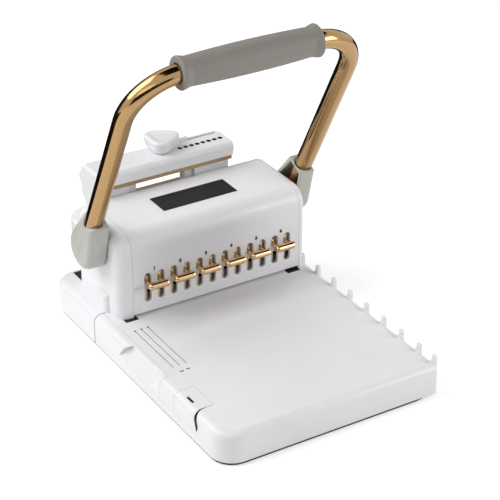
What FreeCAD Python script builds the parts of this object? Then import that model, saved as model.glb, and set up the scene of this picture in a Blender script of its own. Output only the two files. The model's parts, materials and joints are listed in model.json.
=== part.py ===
import FreeCAD, Part

import math
import os
import re

import Sketcher
from FreeCAD import Placement, Rotation, Vector

# Wire binding machine: a lever punch with a tray in front and a wire closer behind.
# Millimetres, +Z up, +Y to the rear. The origin lies under the middle of the machine's overall
# length and width, at the level that the feet stand on.

DIMENSIONS = {
    # fits and clearances
    "seam_gap": 0.2,
    "slide_gap": 0.3,
    "run_fit": 0.05,
    # base
    "base_left": -107.5,
    "base_width": 206.0,
    "base_front": -154.5,
    "base_depth": 300.0,
    "base_top": 30.0,
    "foot_height": 3.0,
    "foot_radius": 8.0,
    "foot_inset": 22.0,
    "base_wall": 2.6,
    "tray_thick": 3.0,
    "tray_depth": 216.0,
    "base_edge_round": 7.0,
    "base_corner_round": 20.0,
    "hook_corner_round": 3.0,
    "floor_thick": 2.4,
    # deck plate with the dies
    "deck_inset_left": 18.6,
    "deck_inset_right": 11.5,
    "deck_lead": 4.5,
    "deck_ear_left": 12.0,
    "deck_ear_right": 13.0,
    "deck_lap": 1.0,
    "deck_thick": 4.0,
    "deck_seat": 3.0,
    "deck_margin": 4.5,
    # slots, punches and pull keys
    "slot_shift": 9.5,
    "slot_pitch": 12.7,
    "slot_count": 12.0,
    "slot_width": 6.8,
    "slot_rise": 11.6,
    "slot_length": 27.8,
    "punch_setback": 7.5,
    "punch_radius": 2.5,
    "punch_lift": 3.0,
    "punch_travel": 12.0,
    "punch_seat": 0.1,
    "throat": 2.0,
    "guide_plate_thick": 4.0,
    "guide_plate_depth": 20.3,
    "paper_margin": 10.5,
    "backstop_depth": 3.0,
    "key_rise": 19.0,
    "key_stand": 8.5,
    "key_bar_radius": 3.25,
    "key_bar_length": 21.0,
    "key_post_radius": 2.75,
    "key_room": 2.0,
    # head
    "head_inset_left": 14.0,
    "head_inset_right": 5.0,
    "column_left_wide": 14.2,
    "column_right_wide": 5.9,
    "panel_lead": 20.0,
    "head_height": 78.0,
    "head_depth": 78.0,
    "head_wall": 2.5,
    "head_front_round": 16.0,
    "head_rear_round": 8.0,
    "column_round": 10.0,
    "head_end_round": 4.5,
    "strip_rise": 15.4,
    "flare_proud": 3.5,
    "flare_start": 17.5,
    "flare_length": 47.0,
    "flare_height": 17.0,
    "flare_round": 3.4,
    "flare_end_round": 5.0,
    "bush_window": 1.0,
    "plaque_length": 73.0,
    "plaque_depth": 25.5,
    "plaque_setback": 39.7,
    "plaque_shift": 3.5,
    "plaque_thick": 0.6,
    # frames, shaft and cams
    "frame_thick": 3.0,
    "frame_gap_left": 3.2,
    "frame_gap_right": 0.3,
    "frame_inset": 6.0,
    "frame_foot": 9.0,
    "frame_foot_depth": 24.0,
    "frame_collar": 8.3,
    "shaft_setback": 35.5,
    "shaft_rise": 59.3,
    "shaft_radius": 5.0,
    "shaft_end_radius": 4.0,
    "shaft_step": 0.6,
    "shaft_end_gap": 1.8,
    "bush_radius": 6.5,
    "bush_proud": 1.0,
    "tie_radius": 3.0,
    "tie_inset": 8.0,
    "tie_drop": 13.0,
    "tie_rise": 9.0,
    "ring_thick": 1.5,
    "cam_width": 8.0,
    "cam_spread": 55.0,
    "cam_start": 10.0,
    "cam_hub_radius": 7.5,
    "cam_heel_back": 2.4,
    "cam_heel_rise": 5.0,
    "stroke_angle": 62.0,
    # carriage
    "bar_drop": 8.6,
    "bar_height": 18.0,
    "bar_setback": 3.0,
    "bar_depth": 25.0,
    "bar_end_gap": 1.5,
    "cam_pad_margin": 2.0,
    "cam_pad_lead": 9.0,
    "ear_wall": 3.4,
    "ear_edge": 2.0,
    "post_radius": 4.0,
    "post_setback": 12.0,
    "post_inset": 9.0,
    "post_spare": 6.0,
    "arm_thick": 5.0,
    "arm_inset_left": 18.0,
    "arm_inset_right": 21.0,
    "arm_edge": 4.0,
    "arm_web": 6.0,
    "arm_room": 1.0,
    "arm_gap": 2.0,
    "arm_reach": 12.0,
    # handle
    "tube_stand": 9.8,
    "handle_splay": 0.49,
    "handle_lean": 27.56,
    "handle_length": 211.2,
    "tube_radius": 7.95,
    "tube_bend": 44.0,
    "tube_tail": 12.0,
    "tube_wall": 1.6,
    "grip_length": 128.0,
    "grip_shift": 2.5,
    "grip_end_radius": 12.2,
    "grip_middle_radius": 13.5,
    "grip_rim_radius": 13.9,
    "grip_rim_wide": 4.0,
    "grip_rim_slope": 4.0,
    "grip_rim_edge": 1.5,
    "grip_rim_drop": 0.6,
    "grip_mouth_deep": 6.0,
    "grip_mouth_flare": 0.6,
    "hub_radius": 19.0,
    "hub_top_half": 10.5,
    "hub_top_height": 37.5,
    "hub_wide": 17.2,
    "hub_gap": 1.3,
    "hub_wall": 2.8,
    "hub_dome": 7.0,
    # wire closer
    "closer_inset": 26.5,
    "closer_width": 132.0,
    "closer_depth": 26.5,
    "box_height": 45.0,
    "box_depth": 16.0,
    "box_wall": 3.0,
    "ledge_thick": 13.0,
    "ledge_inset": 2.5,
    "ledge_lip": 2.5,
    "ledge_corner": 21.0,
    "ledge_rim": 2.5,
    "leg_height": 25.0,
    "leg_depth": 12.0,
    "leg_left_wide": 36.0,
    "leg_right_wide": 47.0,
    "leg_end_inset": 3.5,
    "leg_step_wide": 8.5,
    "leg_step_deep": 3.0,
    "lower_jaw_thick": 5.0,
    "lower_jaw_round": 2.0,
    "jaw_lead": 2.0,
    "jaw_end_inset": 1.0,
    "jaw_plate_thick": 4.0,
    "press_thick": 3.7,
    "press_end_inset": 2.5,
    "press_rear_inset": 0.5,
    "cover_overhang": 4.6,
    "cover_height": 12.7,
    "cover_wall": 2.4,
    "cover_end_wall": 3.9,
    "cover_lean": 1.8,
    "cover_end_round": 7.0,
    "cover_front_round": 4.5,
    "cap_thick": 4.0,
    "cap_bulge": 8.5,
    "cap_drop": 12.0,
    "stop_slot_wide": 3.0,
    "stop_slot_shift": 4.0,
    "stop_range": 29.0,
    "stop_stem": 11.0,
    "stop_stand": 3.2,
    "stop_plate": 1.8,
    "stop_plate_margin": 5.0,
    "stop_tail": 9.0,
    "knob_setback": 70.6,
    "knob_inset": 8.0,
    "knob_radius": 12.5,
    "knob_lobe_centre": 11.0,
    "knob_lobe_radius": 5.5,
    "knob_lobes": 5.0,
    "knob_turn": 18.0,
    "knob_high": 10.0,
    "knob_round": 2.2,
    # chip drawer and edge guide
    "drawer_length": 115.0,
    "drawer_panel": 9.0,
    "drawer_clear": 10.0,
    "drawer_wall": 2.0,
    "drawer_reach": 188.0,
    "recess_setback": 49.0,
    "recess_depth": 7.0,
    "guide_inset": 46.5,
    "guide_length": 31.0,
    "guide_wide": 19.2,
    "guide_drop": 18.0,
    "guide_thick": 2.6,
    "guide_rail": 95.0,
    "guide_rail_wide": 12.0,
    "guide_rail_high": 4.0,
    "mark_inset": 5.6,
    "mark_wide": 2.6,
    "mark_start": 10.2,
    "mark_length": 10.2,
    "mark_deep": 2.0,
    # page hooks on the right edge
    "hook_thick": 3.0,
    "hook_pitch": 25.4,
    "hook_start": 14.2,
    "hook_count": 8.0,
    "hook_rise": 7.2,
    "hook_dip": 3.0,
    "hook_foot": 12.6,
    "hook_tip": 1.6,
    "hook_crest": 3.6,
    "hook_web": 6.0,
    # screws
    "screw_radius": 1.6,
    "screw_head_radius": 3.0,
    "screw_head_high": 1.8,
    "frame_screw_reach": 3.0,
    "frame_screw_inset": 4.0,
    "frame_screw_setback": 19.0,
    "frame_screw_pitch": 8.0,
    "floor_screw_reach": 8.0,
    "boss_radius": 4.0,
    "boss_inset": 32.0,
    "boss_end_inset": 16.0,
    "boss_top_gap": 1.0,
    # return springs on the shaft
    "spring_radius": 6.1,
    "spring_wire": 0.8,
    "spring_pitch": 2.3,
    "spring_turns": 3.0,
    "spring_spread": 30.0,
}

# Places that follow from the sizes
PLACES = {
    "base_right": "base_left + base_width",
    "base_rear": "base_front + base_depth",
    "seam_depth": "base_front + tray_depth",
    "head_left": "base_left + head_inset_left",
    "head_right": "base_right - head_inset_right",
    "panel_left": "head_left + column_left_wide",
    "panel_right": "head_right - column_right_wide",
    "panel_front": "seam_depth - panel_lead",
    "head_rear": "panel_front + head_depth",
    "head_top": "base_top + head_height",
    "flare_front": "panel_front + flare_start",
    "flare_rear": "flare_front + flare_length",
    "flare_top": "base_top + flare_height",
    "deck_left": "base_left + deck_inset_left",
    "deck_right": "base_right - deck_inset_right",
    "deck_front": "panel_front - deck_lead",
    "deck_middle_front": "panel_front + deck_lap",
    "slot_centre": "(base_left + base_right) / 2 + slot_shift",
    "slot_low": "base_top + slot_rise",
    "slot_high": "slot_low + slot_length",
    "strip_seam": "slot_low + strip_rise",
    "punch_line": "panel_front + punch_setback",
    "punch_tip": "base_top + punch_lift",
    "key_height": "slot_low + key_rise",
    "key_reach": "panel_front - key_stand",
    "plaque_middle": "panel_front + plaque_setback",
    "frame_front": "panel_front + frame_inset",
    "frame_rear": "head_rear - frame_inset",
    "frame_left_out": "panel_left - frame_gap_left - frame_thick",
    "frame_left_in": "panel_left - frame_gap_left",
    "frame_right_in": "panel_right + frame_gap_right",
    "frame_right_out": "panel_right + frame_gap_right + frame_thick",
    "shaft_depth": "panel_front + shaft_setback",
    "shaft_height": "base_top + shaft_rise",
    "handle_middle": "(head_left + head_right) / 2",
    "handle_half_width": "(head_right - head_left) / 2 + tube_stand",
    "hub_near": "(head_right - head_left) / 2 + hub_gap",
    "hub_far": "hub_near + hub_wide",
    "shaft_reach": "hub_far - shaft_end_gap",
    "bar_low": "key_height - bar_drop",
    "bar_high": "bar_low + bar_height",
    "bar_front": "panel_front + bar_setback",
    "bar_rear": "bar_front + bar_depth",
    "post_depth": "bar_rear + post_setback",
    "closer_left": "head_left + closer_inset",
    "closer_right": "closer_left + closer_width",
    "closer_rear": "head_rear + closer_depth",
    "arm_left": "closer_left + arm_inset_left",
    "arm_right": "closer_right - arm_inset_right",
    "arm_low": "bar_low + arm_edge",
    "arm_high": "bar_high - arm_edge",
    "web_front": "head_rear + arm_gap",
    "web_rear": "web_front + arm_web",
    "leg_front": "head_rear + slide_gap",
    "leg_rear": "leg_front + leg_depth",
    "leg_left_edge": "closer_left + leg_left_wide",
    "leg_right_edge": "closer_right - leg_right_wide",
    "housing_rear": "head_rear + box_depth",
    "ledge_low": "base_top + box_height",
    "ledge_high": "ledge_low + ledge_thick",
    "ledge_left": "head_left + ledge_inset",
    "ledge_right": "head_right - ledge_inset",
    "ledge_rear": "closer_rear + ledge_lip",
    "lower_jaw_high": "ledge_high + lower_jaw_thick",
    "jaw_plate_low": "ledge_high + leg_height",
    "press_high": "jaw_plate_low - slide_gap",
    "press_low": "press_high - press_thick",
    "cover_low": "jaw_plate_low + jaw_plate_thick",
    "closer_top": "cover_low + cover_height",
    "cover_front": "head_rear - cover_overhang",
    "knob_place": "closer_left + knob_setback",
    "knob_depth": "closer_rear - knob_inset",
    "knob_foot": "closer_top + stop_plate + seam_gap",
    "stop_slot_depth": "knob_depth + stop_slot_shift",
    "stop_slot_start": "knob_place + knob_lobe_centre + knob_lobe_radius + slide_gap",
    "drawer_front": "seam_depth - drawer_length",
    "drawer_top": "base_top - drawer_clear",
    "drawer_end": "base_left + drawer_reach",
    "guide_front": "base_front + guide_inset",
    "guide_rear": "guide_front + guide_length",
    "guide_low": "base_top - guide_drop",
    "hook_side": "base_right - hook_thick",
    "hook_first": "seam_depth - hook_start",
    "hook_high": "base_top + hook_rise",
    "hook_valley": "base_top - hook_dip",
    "hook_strip_low": "hook_valley - hook_web",
}

# How far a cutting tool runs past what it cuts, and how far joined blocks run into each other
SPARE = "1"

doc = FreeCAD.newDocument("wire_binder")
sheet = doc.addObject("Spreadsheet::Sheet", "dims")
SUB_PARTS = []


def fill_sheet():
    for row, (name, size) in enumerate(DIMENSIONS.items(), start=1):
        sheet.set(f"A{row}", name)
        sheet.set(f"B{row}", repr(size))
        sheet.setAlias(f"B{row}", name)
    doc.recompute()


def text(formula):
    """Give a formula in sheet names as an expression of the document."""
    def spell_out(found):
        name = found[0]
        if name in PLACES:
            return f"({text(PLACES[name])})"
        return f"dims.{name}" if name in DIMENSIONS else name

    return re.sub(r"[a-z][a-z_]+", spell_out, str(formula))


def value(formula):
    """Work a formula out to a number."""
    found = sheet.evalExpression(text(formula))
    return float(getattr(found, "Value", found))


def bind(thing, **formulas):
    for name, formula in formulas.items():
        thing.setExpression(name.replace("__", "."), text(formula))


def keep(thing, label):
    """Count an object among the sub-parts under the label that names it."""
    thing.Label = label
    SUB_PARTS.append(thing)
    return thing


# Part primitives and booleans

def block(name, x, y, z):
    """A box between two places along each axis."""
    box = doc.addObject("Part::Box", name)
    bind(box, Length=f"({x[1]}) - ({x[0]})", Width=f"({y[1]}) - ({y[0]})", Height=f"({z[1]}) - ({z[0]})")
    bind(box, Placement__Base__x=x[0], Placement__Base__y=y[0], Placement__Base__z=z[0])
    return box


TURNS = {
    "x": Rotation(Vector(0, 1, 0), 90),
    "y": Rotation(Vector(1, 0, 0), -90),
    "z": Rotation(),
}


def place(thing, x, y, z, axis="z"):
    thing.Placement = Placement(Vector(), TURNS[axis])
    bind(thing, Placement__Base__x=x, Placement__Base__y=y, Placement__Base__z=z)
    return thing


def rod(name, x, y, z, radius, length, axis="z"):
    """A cylinder that starts at a place and runs along an axis."""
    cylinder = doc.addObject("Part::Cylinder", name)
    bind(cylinder, Radius=radius, Height=length)
    return place(cylinder, x, y, z, axis)


def join(name, pieces):
    whole = doc.addObject("Part::MultiFuse", name)
    whole.Shapes = pieces
    whole.Refine = True
    return whole


def group(name, pieces):
    """Hold separate solids together in one sub-part."""
    whole = doc.addObject("Part::Compound", name)
    whole.Links = pieces
    return whole


def cut(name, base, tools):
    rest = doc.addObject("Part::Cut", name)
    rest.Base = base
    rest.Tool = tools[0] if len(tools) == 1 else group(name + "_tools", tools)
    rest.Refine = True
    return rest


def edges_at(shape, **where):
    """Name the edges that lie at the given coordinates over their whole length."""
    found = []
    for number, edge in enumerate(shape.Edges, start=1):
        bounds = edge.BoundBox
        if all(
            abs(getattr(bounds, axis.upper() + end) - place_at) < 0.02
            for axis, place_at in where.items()
            for end in ("Min", "Max")
        ):
            found.append(f"Edge{number}")
    return found


def round_part(name, base, rounds):
    """Round edges of a Part object; each round is a radius and the coordinates of its edges."""
    doc.recompute()
    rounded = doc.addObject("Part::Fillet", name)
    rounded.Base = base
    sizes = []
    for radius, where in rounds:
        for edge in edges_at(base.Shape, **where):
            sizes.append((int(edge[4:]), value(radius), value(radius)))
    rounded.Edges = sizes
    return rounded


# Sketched features

def plane_of(body, role):
    return next(plane for plane in body.Origin.OriginFeatures if plane.Role == role)


def new_body(name):
    return doc.addObject("PartDesign::Body", name)


def new_sketch(body, name, plane, offset="0"):
    sketch = body.newObject("Sketcher::SketchObject", name)
    sketch.AttachmentSupport = (plane_of(body, plane), [""])
    sketch.MapMode = "FlatFace"
    bind(sketch, AttachmentOffset__Base__z=offset)
    return sketch


def draw_outline(sketch, corners):
    """Draw a closed outline whose corners are tied to the sheet."""
    spots = [Vector(value(across), value(along), 0) for across, along in corners]
    count = len(spots)
    for number in range(count):
        sketch.addGeometry(Part.LineSegment(spots[number], spots[(number + 1) % count]), False)
    for number in range(count):
        sketch.addConstraint(Sketcher.Constraint("Coincident", number, 2, (number + 1) % count, 1))
    for number, (across, along) in enumerate(corners):
        tie_point(sketch, number, 1, across, along)


def tie_point(sketch, geometry, point, across, along):
    """Tie a point of a sketch to two formulas, measured from the sketch's origin."""
    for kind, formula in (("DistanceX", across), ("DistanceY", along)):
        tie = sketch.addConstraint(Sketcher.Constraint(kind, -1, 1, geometry, point, value(formula)))
        sketch.setExpression(f"Constraints[{tie}]", text(formula))


def draw_circle(sketch, across, along, radius):
    """Draw a circle tied to the sheet by its centre and its radius."""
    centre = Vector(value(across), value(along), 0)
    ring = sketch.addGeometry(Part.Circle(centre, Vector(0, 0, 1), value(radius)), False)
    tie_point(sketch, ring, 3, across, along)
    tie = sketch.addConstraint(Sketcher.Constraint("Radius", ring, value(radius)))
    sketch.setExpression(f"Constraints[{tie}]", text(radius))


def feature(body, kind, name, sketch, length, backwards=False):
    made = body.newObject(f"PartDesign::{kind}", name)
    made.Profile = sketch
    bind(made, Length=length)
    made.Reversed = backwards
    return made


def pad(body, name, plane, corners, start, length):
    """Raise an outline from a start along the plane's normal."""
    sketch = new_sketch(body, name + "_outline", plane, start)
    draw_outline(sketch, corners)
    return feature(body, "Pad", name, sketch, length)


def pocket(body, name, plane, corners, start, length):
    """Cut an outline from a start along the plane's normal, and make sure that it cuts."""
    doc.recompute()
    before = body.Shape.Volume
    sketch = new_sketch(body, name + "_outline", plane, start)
    draw_outline(sketch, corners)
    made = feature(body, "Pocket", name, sketch, length, backwards=True)
    doc.recompute()
    if not body.Shape.Volume < before:
        raise RuntimeError(f"{name} cuts nothing")
    return made


def fillet(body, name, radius, places):
    """Round the edges of a body that lie at the given coordinates."""
    doc.recompute()
    tip = body.Tip
    edges = []
    for where in places:
        edges += [edge for edge in edges_at(body.Shape, **where) if edge not in edges]
    if not edges:
        raise RuntimeError(f"{name} finds no edge")
    made = body.newObject("PartDesign::Fillet", name)
    made.Base = (tip, edges)
    bind(made, Radius=radius)
    return made


def rectangle(x, y):
    return [(x[0], y[0]), (x[1], y[0]), (x[1], y[1]), (x[0], y[1])]


# Base

def base_block(name, front, rear):
    """A base half as a plain block, before its hollows and rounds."""
    body = new_body(name)
    pad(body, name + "_block", "XY_Plane", rectangle(("base_left", "base_right"), (front, rear)),
        "foot_height", "base_top - foot_height")
    return body


def hollow_base(body, name, x, y, top):
    """Hollow a base half from below up to a height."""
    pocket(body, name, "XY_Plane", rectangle(x, y), "foot_height", f"{top} - foot_height")


def round_corner(body, name, radius, side, end):
    """Round an upright corner of the wall inside and out; side and end are -1 or 1."""
    x = value("base_right" if side > 0 else "base_left")
    y = value("base_rear" if end > 0 else "base_front")
    wall = value("base_wall")
    fillet(body, name + "_inside", f"{radius} - base_wall", [{"x": x - side * wall, "y": y - end * wall}])
    fillet(body, name, radius, [{"x": x, "y": y}])


def deck_outline(rear, gap="0"):
    """The deck plate seen from above: two ears reach out in front, under the head's columns."""
    left, right = f"deck_left - {gap}", f"deck_right + {gap}"
    ear_left, ear_right = f"deck_left + deck_ear_left + {gap}", f"deck_right - deck_ear_right - {gap}"
    ear_front, front = f"deck_front - {gap}", f"deck_middle_front - {gap}"
    return [(left, ear_front), (ear_left, ear_front), (ear_left, front), (ear_right, front),
            (ear_right, ear_front), (right, ear_front), (right, rear), (left, rear)]


def seat_deck(body, name, outline):
    """Sink the seat of the deck plate into the top."""
    pocket(body, name + "_seat", "XY_Plane", outline, "base_top - deck_thick", "deck_thick")


def front_base():
    """The tray half of the base: walls, thin top, the deck's seat and the gaps of what slides."""
    left, right, front, top = map(value, ("base_left", "base_right", "base_front", "base_top"))
    body = base_block("front_base", "base_front", "seam_depth")
    inner = ("base_left + base_wall", "hook_side - base_wall")
    thick_top = "deck_front - deck_margin"
    hollow_base(body, "front_base_tray", inner, ("base_front + base_wall", thick_top),
                "base_top - tray_thick")
    hollow_base(body, "front_base_sill", inner, (thick_top, "seam_depth - base_wall"),
                "base_top - deck_thick - deck_seat")
    round_corner(body, "front_base_corner", "base_corner_round", -1, -1)
    fillet(body, "front_base_hook_corner", "hook_corner_round", [{"x": right, "y": front}])
    fillet(body, "front_base_rim", "base_edge_round", [{"y": front, "z": top}, {"x": left, "z": top}])
    add_bosses(body, "front_base_bosses", FRONT_BOSSES)
    seat_deck(body, "front_base", deck_outline("seam_depth", "seam_gap"))
    half_row = "slot_pitch * slot_count / 2"
    pocket(body, "front_base_chip_window", "XY_Plane",
           rectangle((f"slot_centre - {half_row}", f"slot_centre + {half_row}"),
                     ("punch_line - punch_radius * 2", "punch_line + punch_radius * 2")),
           "base_top - deck_thick - deck_seat", "deck_seat")
    pocket(body, "front_base_drawer_gap", "XZ_Plane",
           rectangle(("base_left", "base_left + drawer_panel + slide_gap"),
                     ("foot_height", "base_top")),
           "-seam_depth", "seam_depth - drawer_front + slide_gap")
    pocket(body, "front_base_guide_gap", "XZ_Plane",
           rectangle(("base_left", "base_left + guide_wide + slide_gap"),
                     ("guide_low - slide_gap", "base_top")),
           "-guide_rear - slide_gap", "guide_rear - guide_front + 2 * slide_gap")
    pocket(body, "front_base_hook_seat", "XZ_Plane",
           rectangle(("hook_side", "base_right"), ("hook_strip_low", "base_top")),
           "-hook_first - hook_foot", "hook_first + hook_foot - base_front - hook_corner_round")
    return keep(body, "front_base")


def rear_base():
    """The rear half of the base under the head and the closer."""
    left, right, rear, top = map(value, ("base_left", "base_right", "base_rear", "base_top"))
    body = base_block("rear_base", "seam_depth", "base_rear")
    hollow_base(body, "rear_base_inside", ("base_left + base_wall", "base_right - base_wall"),
                ("seam_depth + base_wall", "base_rear - base_wall"),
                "base_top - deck_thick - deck_seat")
    for side in (-1, 1):
        round_corner(body, f"rear_base_corner_{side + 1}", "base_corner_round", side, 1)
    fillet(body, "rear_base_rim", "base_edge_round",
           [{"x": left, "z": top}, {"x": right, "z": top}, {"y": rear, "z": top}])
    add_bosses(body, "rear_base_bosses", REAR_BOSSES)
    seat_deck(body, "rear_base", rectangle(("deck_left - seam_gap", "deck_right + seam_gap"),
                                           ("seam_depth", "base_rear - base_edge_round - seam_gap")))
    return keep(body, "rear_base")


def drill(body, name, places, radius, start, length):
    """Cut round holes upwards from a height."""
    sketch = new_sketch(body, name + "_circles", "XY_Plane", start)
    for x, y in places:
        draw_circle(sketch, x, y, radius)
    return feature(body, "Pocket", name, sketch, length, backwards=True)


def add_bosses(body, name, places):
    """Screw bosses that hang from the top of a base half down to its floor, drilled for the screws."""
    sketch = new_sketch(body, name + "_circles", "XY_Plane", "foot_height + floor_thick")
    for x, y in places:
        draw_circle(sketch, x, y, "boss_radius")
    feature(body, "Pad", name, sketch, "base_top - deck_thick - boss_top_gap - foot_height - floor_thick")
    drill(body, name + "_holes", places, "screw_radius + run_fit", "foot_height + floor_thick",
          "floor_screw_reach")


BOSS_ACROSS = ("base_left + boss_inset", "base_right - boss_inset")
BOSS_ALONG = ("base_front + boss_end_inset", "drawer_front - boss_radius - drawer_wall")
FRONT_BOSSES = [(x, y) for x in BOSS_ACROSS for y in BOSS_ALONG]
REAR_BOSSES = [(x, "base_rear - boss_end_inset") for x in BOSS_ACROSS]
FLOOR_MARGIN = "(base_wall + slide_gap)"


def front_floor():
    """The plate that closes the tray half from below."""
    body = new_body("front_floor")
    pad(body, "front_floor_sheet", "XY_Plane", rectangle(
        ("base_left + drawer_panel + slide_gap", f"hook_side - {FLOOR_MARGIN}"),
        (f"base_front + {FLOOR_MARGIN}", f"seam_depth - {FLOOR_MARGIN}")), "foot_height", "floor_thick")
    pocket(body, "front_floor_corner", "XY_Plane", [
        ("base_left + drawer_panel", f"base_front + {FLOOR_MARGIN} + base_corner_round - drawer_panel"),
        ("base_left + drawer_panel", "base_front"),
        ("base_left + base_corner_round", "base_front"),
    ], "foot_height", "floor_thick")
    drill(body, "front_floor_holes", FRONT_BOSSES, "screw_radius + run_fit", "foot_height", "floor_thick")
    return keep(body, "front_floor")


def rear_floor():
    """The plate that closes the rear half from below."""
    body = new_body("rear_floor")
    x = (f"base_left + {FLOOR_MARGIN}", f"base_right - {FLOOR_MARGIN}")
    y = (f"seam_depth + {FLOOR_MARGIN}", f"base_rear - {FLOOR_MARGIN}")
    slant = "base_corner_round * 0.7"
    pad(body, "rear_floor_sheet", "XY_Plane", [
        (x[0], y[0]), (x[1], y[0]), (x[1], f"{y[1]} - {slant}"), (f"{x[1]} - {slant}", y[1]),
        (f"{x[0]} + {slant}", y[1]), (x[0], f"{y[1]} - {slant}"),
    ], "foot_height", "floor_thick")
    drill(body, "rear_floor_holes", REAR_BOSSES, "screw_radius + run_fit", "foot_height", "floor_thick")
    return keep(body, "rear_floor")


def floor_screws():
    """Screws that hold both floors to the bosses."""
    screws = [screw(f"floor_screw_{number}", x, y, "foot_height", down=False)
              for number, (x, y) in enumerate(FRONT_BOSSES + REAR_BOSSES)]
    return keep(group("floor_screws", screws), "floor_screws")


def chip_drawer():
    """The chip tray with the panel that closes the left wall and the finger recess in it."""
    body = new_body("chip_drawer")
    inside = "base_left + drawer_panel"
    pad(body, "drawer_face", "XY_Plane",
        rectangle(("base_left", inside), ("drawer_front", "seam_depth - seam_gap")),
        "foot_height", "base_top - foot_height")
    fillet(body, "drawer_face_round", "base_edge_round",
           [{"x": value("base_left"), "z": value("base_top")}])
    floor = "foot_height + floor_thick + slide_gap"
    tray_y = ("drawer_front + 2 * drawer_wall", "seam_depth - base_wall - drawer_wall")
    pad(body, "drawer_tray", "XY_Plane", rectangle((f"{inside} - {SPARE}", "drawer_end"), tray_y),
        floor, f"drawer_top - ({floor})")
    pocket(body, "drawer_inside", "XY_Plane",
           rectangle((f"{inside} + drawer_wall", "drawer_end - drawer_wall"),
                     (f"{tray_y[0]} + drawer_wall", f"{tray_y[1]} - drawer_wall")),
           f"{floor} + drawer_wall", "base_top - foot_height")
    finger_recess(body)
    return keep(body, "chip_drawer")


# Corners of the finger recess in the drawer face, as (depth from its middle, fall from the top):
# where it breaks the wall, and at its floor
RECESS_ON_WALL = [(22, 16), (0, 17.5), (-19, 20), (-34, 18), (-47, 11), (-47.6, -0.5), (10, -0.5)]
RECESS_FLOOR = [(12, 3.5), (0, 4), (-19, 5), (-34, 4.5), (-43, 3), (-43.4, -0.5), (5, -0.5)]


def finger_recess(body):
    """Scoop the finger recess out of the drawer face."""
    doc.recompute()
    before = body.Shape.Volume
    sketches = []
    for name, outline, place_at in (("recess_wall", RECESS_ON_WALL, f"base_left - {SPARE} / 2"),
                                    ("recess_floor", RECESS_FLOOR, "base_left + recess_depth")):
        sketch = new_sketch(body, name, "YZ_Plane", place_at)
        draw_outline(sketch, [(f"drawer_front + recess_setback + ({along})", f"base_top - ({fall})")
                              for along, fall in outline])
        sketches.append(sketch)
    scoop = body.newObject("PartDesign::SubtractiveLoft", "finger_recess")
    scoop.Profile = sketches[0]
    scoop.Sections = sketches[1:]
    scoop.Ruled = True
    doc.recompute()
    if not body.Shape.Volume < before:
        raise RuntimeError("the finger recess cuts nothing")


def edge_guide():
    """The paper edge guide: a clip over the left edge with a rail into the base."""
    body = new_body("edge_guide")
    pad(body, "guide_cap", "XY_Plane",
        rectangle(("base_left", "base_left + guide_wide"), ("guide_front", "guide_rear")),
        "guide_low", "base_top - guide_low")
    fillet(body, "guide_round", "base_edge_round", [{"x": value("base_left"), "z": value("base_top")}])
    pocket(body, "guide_under", "XZ_Plane",
           [("base_left + guide_thick", "guide_low"),
            ("base_left + guide_wide", "guide_low"),
            ("base_left + guide_wide", "base_top - guide_thick"),
            ("base_left + base_edge_round", "base_top - guide_thick"),
            ("base_left + guide_thick", "base_top - base_edge_round")],
           "guide_thick - guide_rear", "guide_length - 2 * guide_thick")
    pocket(body, "guide_mark", "XY_Plane",
           rectangle(("base_left + mark_inset", "base_left + mark_inset + mark_wide"),
                     ("guide_front + mark_start", "guide_front + mark_start + mark_length")),
           "base_top - mark_deep", "mark_deep")
    middle = "(guide_front + guide_rear) / 2"
    pad(body, "guide_rail", "XY_Plane",
        rectangle((f"base_left + guide_thick - {SPARE} / 2", "base_left + guide_rail"),
                  (f"{middle} - guide_rail_wide / 2", f"{middle} + guide_rail_wide / 2")),
        "base_top - tray_thick - slide_gap - guide_rail_high", "guide_rail_high")
    return keep(body, "edge_guide")


def hook_strip():
    """Page hooks along the right edge, cut from one strip."""
    body = new_body("hook_strip")
    front = "base_front + hook_corner_round"
    pad(body, "hook_web", "YZ_Plane",
        rectangle((front, "hook_first + hook_foot - slide_gap"), ("hook_strip_low", "hook_valley")),
        "hook_side", "hook_thick")
    hook = one_hook(body, "hook", "hook_first")
    rows = body.newObject("PartDesign::LinearPattern", "hook_row")
    rows.Originals = [hook]
    rows.Direction = (origin_line(body, "Y_Axis"), [""])
    rows.Reversed = True
    bind(rows, Length="hook_pitch * (hook_count - 1)", Occurrences="hook_count")
    body.Tip = rows
    doc.recompute()
    one_hook(body, "corner_hook", front)
    return keep(body, "hook_strip")


def origin_line(body, role):
    return next(line for line in body.Origin.OriginFeatures if line.Role == role)


# Lowest point of a hook's hollow back, as shares of its foot and of its height
HOLLOW_ALONG, HOLLOW_UP = 0.48, 0.34
# Where the middle of a quarter round lies, as a share of its radius
ROUND_MIDDLE = 1 - math.sqrt(0.5)


def one_hook(body, name, front):
    """One hook: upright in front, rounded tip, hollow back that runs down to its foot."""
    sketch = new_sketch(body, name + "_outline", "YZ_Plane", "hook_side")
    spare, tip, crest = value(SPARE), value("hook_tip"), value("hook_crest")
    y, low, high, foot = value(front), value("hook_valley") - spare, value("hook_high"), value("hook_foot")
    corners = [Vector(y, low, 0), Vector(y, high - tip, 0), Vector(y + tip, high, 0),
               Vector(y + crest, high, 0), Vector(y + foot, low + spare, 0), Vector(y + foot, low, 0)]
    nose = Vector(y + tip * ROUND_MIDDLE, high - tip * ROUND_MIDDLE, 0)
    hollow = Vector(y + foot * HOLLOW_ALONG, low + (high - low) * HOLLOW_UP, 0)
    sketch.addGeometry([
        Part.LineSegment(corners[0], corners[1]),
        Part.Arc(corners[1], nose, corners[2]),
        Part.LineSegment(corners[2], corners[3]),
        Part.Arc(corners[3], hollow, corners[4]),
        Part.LineSegment(corners[4], corners[5]),
        Part.LineSegment(corners[5], corners[0]),
    ], False)
    return feature(body, "Pad", name, sketch, "hook_thick")


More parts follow.
